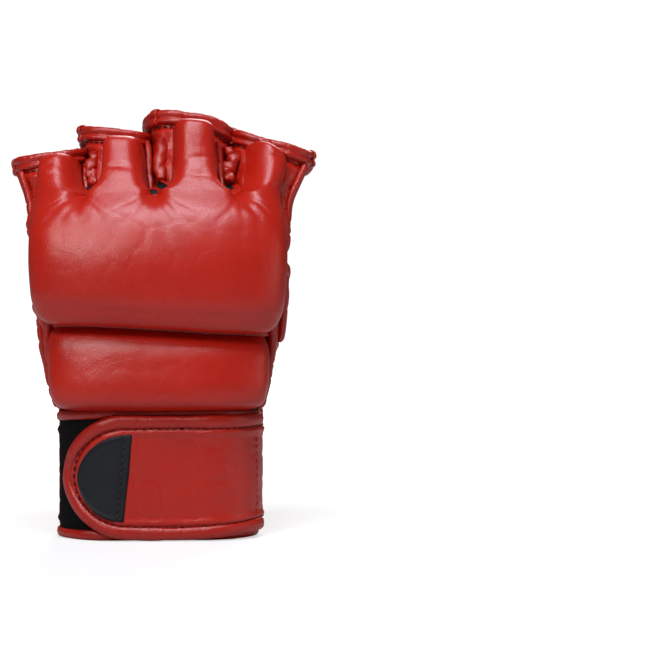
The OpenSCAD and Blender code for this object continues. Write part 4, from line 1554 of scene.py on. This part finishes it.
def cuff_binding(name, share, z, inward):
    """Rolled edge round the cuff, with stitches along its leather part."""
    path = track_points(share, 0.9 + left_swell(share), z)
    bound = rolled_edge(name, path, track_up(share), 4.9, 4.4, 145, closed=True, fold=0.08)
    attach(bound, "glove", "binding", name)
    sewn = (share > LEATHER_START - 0.005) & (share < LOOP_START - 0.003)
    part = share[sewn]
    place = track_points(part, CUFF_OUT - 0.5 + left_swell(part), z[sewn] + inward)
    stitches = stitch_object(f"{name}_stitches", place, track_up(part), radius=0.3, material=SEAM_RED)
    attach(stitches, "glove", "binding")


def cuff_lining():
    s, v = loop_grid(1, 150, 30)
    y = track_points(s, CUFF_OUT, 0.0)[..., 1]
    z = mix(1.0, cuff_top(y) - 1.0, v)
    d = 0.2 + 0.35 * soft_noise(track_points(s, 0.0, z), 11.0, 151)
    attach(track_sheet("cuff_lining", s, z, 1.6, d, BLACK, True), "glove", "lining", "cuff_lining")


# ---------- strap ----------

# Distances from the cuff's inner face: the strap's inner face, middle and outer face, and the foot
# of its rolled edge
STRAP_D = 5.0
STRAP_MIDDLE_D = 6.5
STRAP_FACE_D = 7.6
EDGE_D = 4.9
# Width and height of the rolled edge, how far its middle, its stitches and the leather's own border
# lie inside the strap's outline, and the radius of the stitches
STRAP_ROLL = (6.4, 4.4)
ROLL_INSET = 2.7
SEWN_INSET = 5.8
STRAP_INSET = 2.2
STRAP_THREAD = 0.5
# Bottom and top of the strap, and how far its bottom edge rises to each end
STRAP_Z0 = 0.8
STRAP_Z1 = 60.0
STRAP_MID = (STRAP_Z0 + STRAP_Z1) / 2
STRAP_HALF = (STRAP_Z1 - STRAP_Z0) / 2
STRAP_BOW = 3.2
# Widths of the strap's free end, its cross seam and its sewn root
TIP_X = -47.0
SEAM_X = 10.0
ROOT_X = 48.6
# The charcoal panel: its straight end's width and slant, and its distance from the strap's outline
PANEL_X = -15.8
PANEL_LEAN = 0.1
PANEL_INSET = 8.4


def strap_shares(x):
    """Shares of the way round the cuff at width x on its front, as the strap follows it."""
    radius = CUFF_R + STRAP_MIDDLE_D
    over = np.clip((np.abs(x) - CUFF_FLAT) / radius, 0, 0.9999)
    arc = np.arcsin(over) * CUFF_R
    along = np.where(np.abs(x) <= CUFF_FLAT, x, np.sign(x) * (CUFF_FLAT + arc))
    return (along + CUFF_FLAT) / TRACK_LENGTH


def strap_low(x):
    """Height of the strap's bottom edge, which rises a little towards both ends."""
    return STRAP_Z0 + STRAP_BOW * (x / 48.0) ** 2


def strap_span(x, inset=0.0):
    """Lowest and highest points of the strap at width x, inset from its outline."""
    reach = STRAP_HALF - inset
    back = np.minimum(0, x - TIP_X - STRAP_HALF) / reach
    share = np.sqrt(np.maximum(0.0004, 1 - back**2))
    return STRAP_MID - (STRAP_MID - strap_low(x) - inset) * share, STRAP_MID + reach * share


def strap_edge(x, z):
    """Distance from the strap's outline, inwards."""
    off = z - STRAP_MID
    off = np.where(off > 0, off, off * STRAP_HALF / (STRAP_MID - strap_low(x)))
    return STRAP_HALF - np.hypot(np.minimum(0, x - TIP_X - STRAP_HALF), off)


def strap_height(place, edge):
    """Height of the strap's leather: a stitched groove inside its edge, then soft waves."""
    ridge = 0.75 * bump(edge, 7.9, 1.5) - 0.9 * bump(edge, 5.8, 0.9)
    waves = 0.3 * soft_noise(place, (17.0, 17.0, 13.0), 161)
    wrinkle = 0.35 * ridges(place, (12.0, 12.0, 10.0), 163, 7.0)
    pucker = 0.3 * noise(place, (2.6, 2.6, 2.6), 167) * bump(edge, 6.4, 1.8)
    return ridge + pucker + (waves - wrinkle) * smooth(edge, 4, 10)


def strap_sheet(name, x0, x1, count, ease):
    """The strap's outer leather between two widths, with an extra row that keeps its seam crisp."""
    beside_seam = 0.0006 if x1 == SEAM_X else 0.9994
    columns = np.sort(np.append(np.linspace(0, 1, count), beside_seam))
    s, v = np.meshgrid(columns, np.linspace(0, 1, 60), indexing="ij")
    x = mix(x1, x0, 1 - (1 - s) ** ease)
    low, high = strap_span(x, STRAP_INSET)
    z = mix(low, high, v)
    share = strap_shares(x)
    place = track_points(share, STRAP_MIDDLE_D, z)
    d = STRAP_FACE_D + strap_height(place, strap_edge(x, z))
    return track_sheet(name, share, z, d, STRAP_D + 0.2, RED)


def strap_layer(name, x0, x1, inset, low, material):
    """Thin layer on the strap's inner face, between the widths x0 and x1."""
    s, v = grid(70, 50)
    x = mix(x1, x0, 1 - (1 - s) ** 1.6)
    bottom, top = strap_span(x, inset)
    z = mix(bottom, top, v)
    share = strap_shares(x)
    edge = np.minimum(np.minimum(z - bottom, top - z), x - x0)
    d = low - 0.25 * swell(edge / 1.5) + 0.06 * soft_noise(track_points(share, STRAP_D, z), 9.0, 175)
    return track_sheet(name, share, z, STRAP_D + 0.6, d, material)


def strap_inside():
    """The root's backing leather, and the tip's patch of hook fabric."""
    backing = strap_layer("strap_backing", SEAM_X + 0.5, ROOT_X - 1.0, 5.0, STRAP_D + 0.1, BOUND)
    attach_strap_root(backing, "red_leather", "strap_backing")
    hook = strap_layer("strap_hook_panel", TIP_X + 6.4, -12.0, 6.4, STRAP_D + 0.05, HOOK)
    attach(hook, "strap_tip", "hook_fabric", "strap_hook_panel")


def strap_roll(name, shares, z, ends):
    path = track_points(shares, EDGE_D, z)
    return rolled_edge(name, path, track_up(shares), *STRAP_ROLL, 173, fold=0.06, ends=ends)


def strap_stitches(name, shares, z):
    path = track_points(shares, STRAP_FACE_D - 0.15, z)
    return stitch_object(name, path, track_up(shares), radius=STRAP_THREAD)


def strap():
    """The strap: its sewn root with rolled edges and stitches, then its free end."""
    made = strap_sheet("strap_root", SEAM_X, ROOT_X, 60, 1.0)
    attach_strap_root(made, "red_leather", "strap_panel", "strap_binding")
    strap_inside()
    x = np.linspace(SEAM_X, ROOT_X - 0.2, 60)
    low, high = strap_span(x)
    shares = strap_shares(x)
    for name, outline, inward in (("top", high, -1), ("bottom", low, 1)):
        bound = strap_roll(f"strap_{name}_edge", shares, outline + inward * ROLL_INSET, (False, True))
        attach_strap_root(bound, "binding")
        stitches = strap_stitches(f"strap_{name}_stitches", shares, outline + inward * SEWN_INSET)
        attach_strap_root(stitches, "binding")
    root_z = np.linspace(13, 51, 30)
    seam = strap_shares(np.array(ROOT_X - 3.0)) + 0 * root_z
    line = track_points(seam, STRAP_FACE_D + 0.05, root_z)
    stitches = stitch_object("strap_root_stitches", line, track_up(seam), 3.3, 2.3, 0.3, BOUND)
    attach_strap_root(stitches, "binding")
    strap_tip()


def tip_outline(inset, count=60):
    """Outline of the strap's free end, from its top edge round the tip to its bottom edge."""
    centre = TIP_X + STRAP_HALF
    a = np.linspace(0, np.pi / 2, count // 2)
    arc_x = centre - (STRAP_HALF - inset) * np.sin(a)
    straight = np.linspace(SEAM_X, centre, 26)[:-1]
    x = np.concatenate([straight, arc_x])
    reach = np.concatenate([1 + 0 * straight, np.cos(a)])
    top = STRAP_MID + (STRAP_HALF - inset) * reach
    bottom = STRAP_MID - (STRAP_MID - strap_low(x) - inset) * reach
    return np.concatenate([x, x[-2::-1]]), np.concatenate([top, bottom[-2::-1]])


def charcoal_panel():
    """The raised panel inside the tip, with a slanted straight end."""
    s, v = grid(56, 56)
    x = mix(PANEL_X, TIP_X + PANEL_INSET, 1 - (1 - s) ** 1.6)
    end = PANEL_X - x
    round_x = np.minimum(0, x - TIP_X - STRAP_HALF)
    room = np.sqrt(np.maximum(0.2, (STRAP_HALF - PANEL_INSET) ** 2 - round_x**2))
    z = STRAP_MID + (2 * v - 1) * room
    x = x + PANEL_LEAN * (z - STRAP_MID) * (1 - s)
    share = strap_shares(x)
    edge = np.minimum(room - np.abs(z - STRAP_MID), end + 0.02)
    border = 0.6 * bump(edge, 1.2, 0.9) - 0.45 * bump(end, 3.3, 0.9)
    d = STRAP_FACE_D + 0.25 + 0.75 * swell(edge / 2.0) + border
    d = d + 0.12 * soft_noise(track_points(share, STRAP_MIDDLE_D, z), 12.0, 171)
    made = track_sheet("strap_tip_panel", share, z, d, STRAP_MIDDLE_D, CHARCOAL)
    attach(made, "strap_tip", "black_leather", "strap_tip_panel")


def strap_tip():
    """The free end: red leather, the charcoal panel, a rolled edge and stitches."""
    body = strap_sheet("strap_tip_body", TIP_X + STRAP_INSET, SEAM_X, 84, 1.8)
    attach_strap_tip(body, "red_leather", "strap_tip_edge")
    charcoal_panel()
    x, z = tip_outline(ROLL_INSET)
    bound = strap_roll("strap_tip_edge_roll", strap_shares(x), z, (False, False))
    attach_strap_tip(bound, "binding", "strap_tip_binding")
    x, z = tip_outline(SEWN_INSET)
    attach_strap_tip(strap_stitches("strap_tip_stitches", strap_shares(x), z), "binding")
    charcoal_stitches()


def charcoal_stitches():
    """Stitches down the panel's slanted straight end."""
    z = np.linspace(STRAP_MID - 18.5, STRAP_MID + 18.5, 24)
    x = PANEL_X + PANEL_LEAN * (z - STRAP_MID) - 3.3
    share = strap_shares(x)
    path, up = track_points(share, STRAP_FACE_D + 0.85, z), track_up(share)
    made = stitch_object("charcoal_stitches", path, up, 3.2, 2.2, STRAP_THREAD, BLACK_THREAD)
    attach(made, "strap_tip", "black_leather")


# ---------- light, floor and camera ----------

# Radii of the floor's rings, in metres
FLOOR_RADII = (0.001, 0.3, 1, 3, 8)
# Lamps: name, place in metres, diameter, power and colour
LAMP_AIM = (0.0, 0.0, 0.11)
LAMPS = (
    ("key", (-0.5, -0.92, 0.88), 0.40, 6.8, (1.0, 0.985, 0.985)),
    ("top", (0.02, -0.42, 1.12), 0.38, 7.2, (0.86, 0.9, 1.0)),
    ("fill", (1.2, -0.5, 0.35), 0.6, 1.1, (1.0, 0.97, 0.95)),
    ("back", (0.25, 0.95, 0.75), 0.7, 7.5, (1.0, 0.99, 0.98)),
)
# The camera aims beside the glove, which stands in the left half of the picture as in the photo
CAMERA_PLACE = (0.0, -1.63, 0.2)
CAMERA_AIM = (0.0800, 0.0, 0.1018)
CAMERA_LENS = 186


def aim_object(made, place, aim):
    """Puts a lamp or the camera at a place, facing the point that it aims at."""
    bpy.context.scene.collection.objects.link(made)
    made.location = place
    made.rotation_euler = (Vector(aim) - Vector(place)).to_track_quat("-Z", "Y").to_euler()


def area_light(name, place, size, power, colour):
    data = bpy.data.lights.new(name, "AREA")
    data.shape = "DISK"
    data.size = size
    data.energy = power
    data.color = colour
    aim_object(bpy.data.objects.new(name, data), place, LAMP_AIM)


def floor_material():
    """Pale matt floor with a painted glow that only the camera sees: dim near the glove, growing to the plain
    white of the studio far from it.
    """
    material, tree, shader = new_material("studio_floor")
    place = object_place(tree)
    speck = texture(tree, place, "Noise", {"Scale": 3.0, "Detail": 2.0})
    colour = colour_mix(tree, speck.outputs["Fac"], grey(0.50), grey(0.53))
    tree.links.new(colour, shader.inputs["Base Color"])
    shader.inputs["Roughness"].default_value = 0.8
    away = add_node(tree, "ShaderNodeVectorMath", operation="LENGTH")
    tree.links.new(place, away.inputs[0])
    ramp = {"From Min": 0.15, "From Max": 0.9, "To Min": 0.56, "To Max": 1.05}
    far = add_node(tree, "ShaderNodeMapRange", ramp, interpolation_type="SMOOTHSTEP")
    tree.links.new(away.outputs["Value"], far.inputs["Value"])
    # Painted glow: emission that only camera rays see, from 0.56 near the glove to 1.05 far from it
    shader.inputs["Emission Color"].default_value = (1, 1, 1, 1)
    seen = add_node(tree, "ShaderNodeLightPath")
    painted_glow = maths(tree, "MULTIPLY", far.outputs["Result"], seen.outputs["Is Camera Ray"])
    tree.links.new(painted_glow, shader.inputs["Emission Strength"])
    return material


def studio_floor():
    """Round floor, made of rings in metres."""
    a = np.linspace(0, 2 * np.pi, 96, endpoint=False)
    rings = [flat_place(r * np.cos(a), r * np.sin(a)) for r in FLOOR_RADII]
    points = np.stack(rings, 1).reshape(-1, 3) / MM
    floor = make_object("studio_floor", points, grid_faces(len(a), len(rings), True), floor_material())


def studio_world():
    """Dim white light from all round, seen by the camera as plain white."""
    world = bpy.data.worlds.new("studio_world")
    world.use_nodes = True
    tree = world.node_tree
    background = tree.nodes["Background"]
    background.inputs["Color"].default_value = (1, 1, 1, 1)
    seen = add_node(tree, "ShaderNodeLightPath")
    strength = scaled(tree, seen.outputs["Is Camera Ray"], 0.09, 1.05)
    tree.links.new(strength, background.inputs["Strength"])
    bpy.context.scene.world = world


def camera():
    data = bpy.data.cameras.new("camera")
    data.sensor_width = 36
    data.lens = CAMERA_LENS
    made = bpy.data.objects.new("camera", data)
    aim_object(made, CAMERA_PLACE, CAMERA_AIM)
    bpy.context.scene.camera = made
    bpy.context.scene.view_settings.view_transform = "Standard"


# ---------- build ----------


def build():
    camera()
    studio_floor()
    studio_world()
    for lamp in LAMPS:
        area_light(*lamp)
    knuckle_pad()
    backhand_pad()
    crease_welt()
    for side, wall in ((-1, "ulnar"), (1, "radial")):
        gusset(side, f"{wall}_gusset")
        side_piping(side, f"{wall}_piping")
    side_trims()
    hand_lining()
    palm_band()
    palm_bridge("pinky")
    palm_bridge("index")
    palm_side_strip()
    heel_panel()
    thumb_leather()
    thumb_flap_lining()
    thumb_flap_binding()
    thumb_pad()
    thumb_hole_binding()
    for index, name in enumerate(LOBE_ORDER):
        finger_pad(index, name)
        finger_sleeve(index, name)
        finger_hem(index, name)
        for number, angle in enumerate(HEM_WRAPS[name]):
            hem_wrap(name, number, angle)
        finger_vent(index, name)
    for name in SIDE_ROLLS:
        side_roll(name)
    for k in range(3):
        finger_web(k)
    for number, fold in enumerate(SLIT_FOLDS):
        slit_fold(number, *fold)
    for number, hole in enumerate(SLIT_HOLES):
        slit_hole(number, *hole)
    cuff()
    strap()


build()
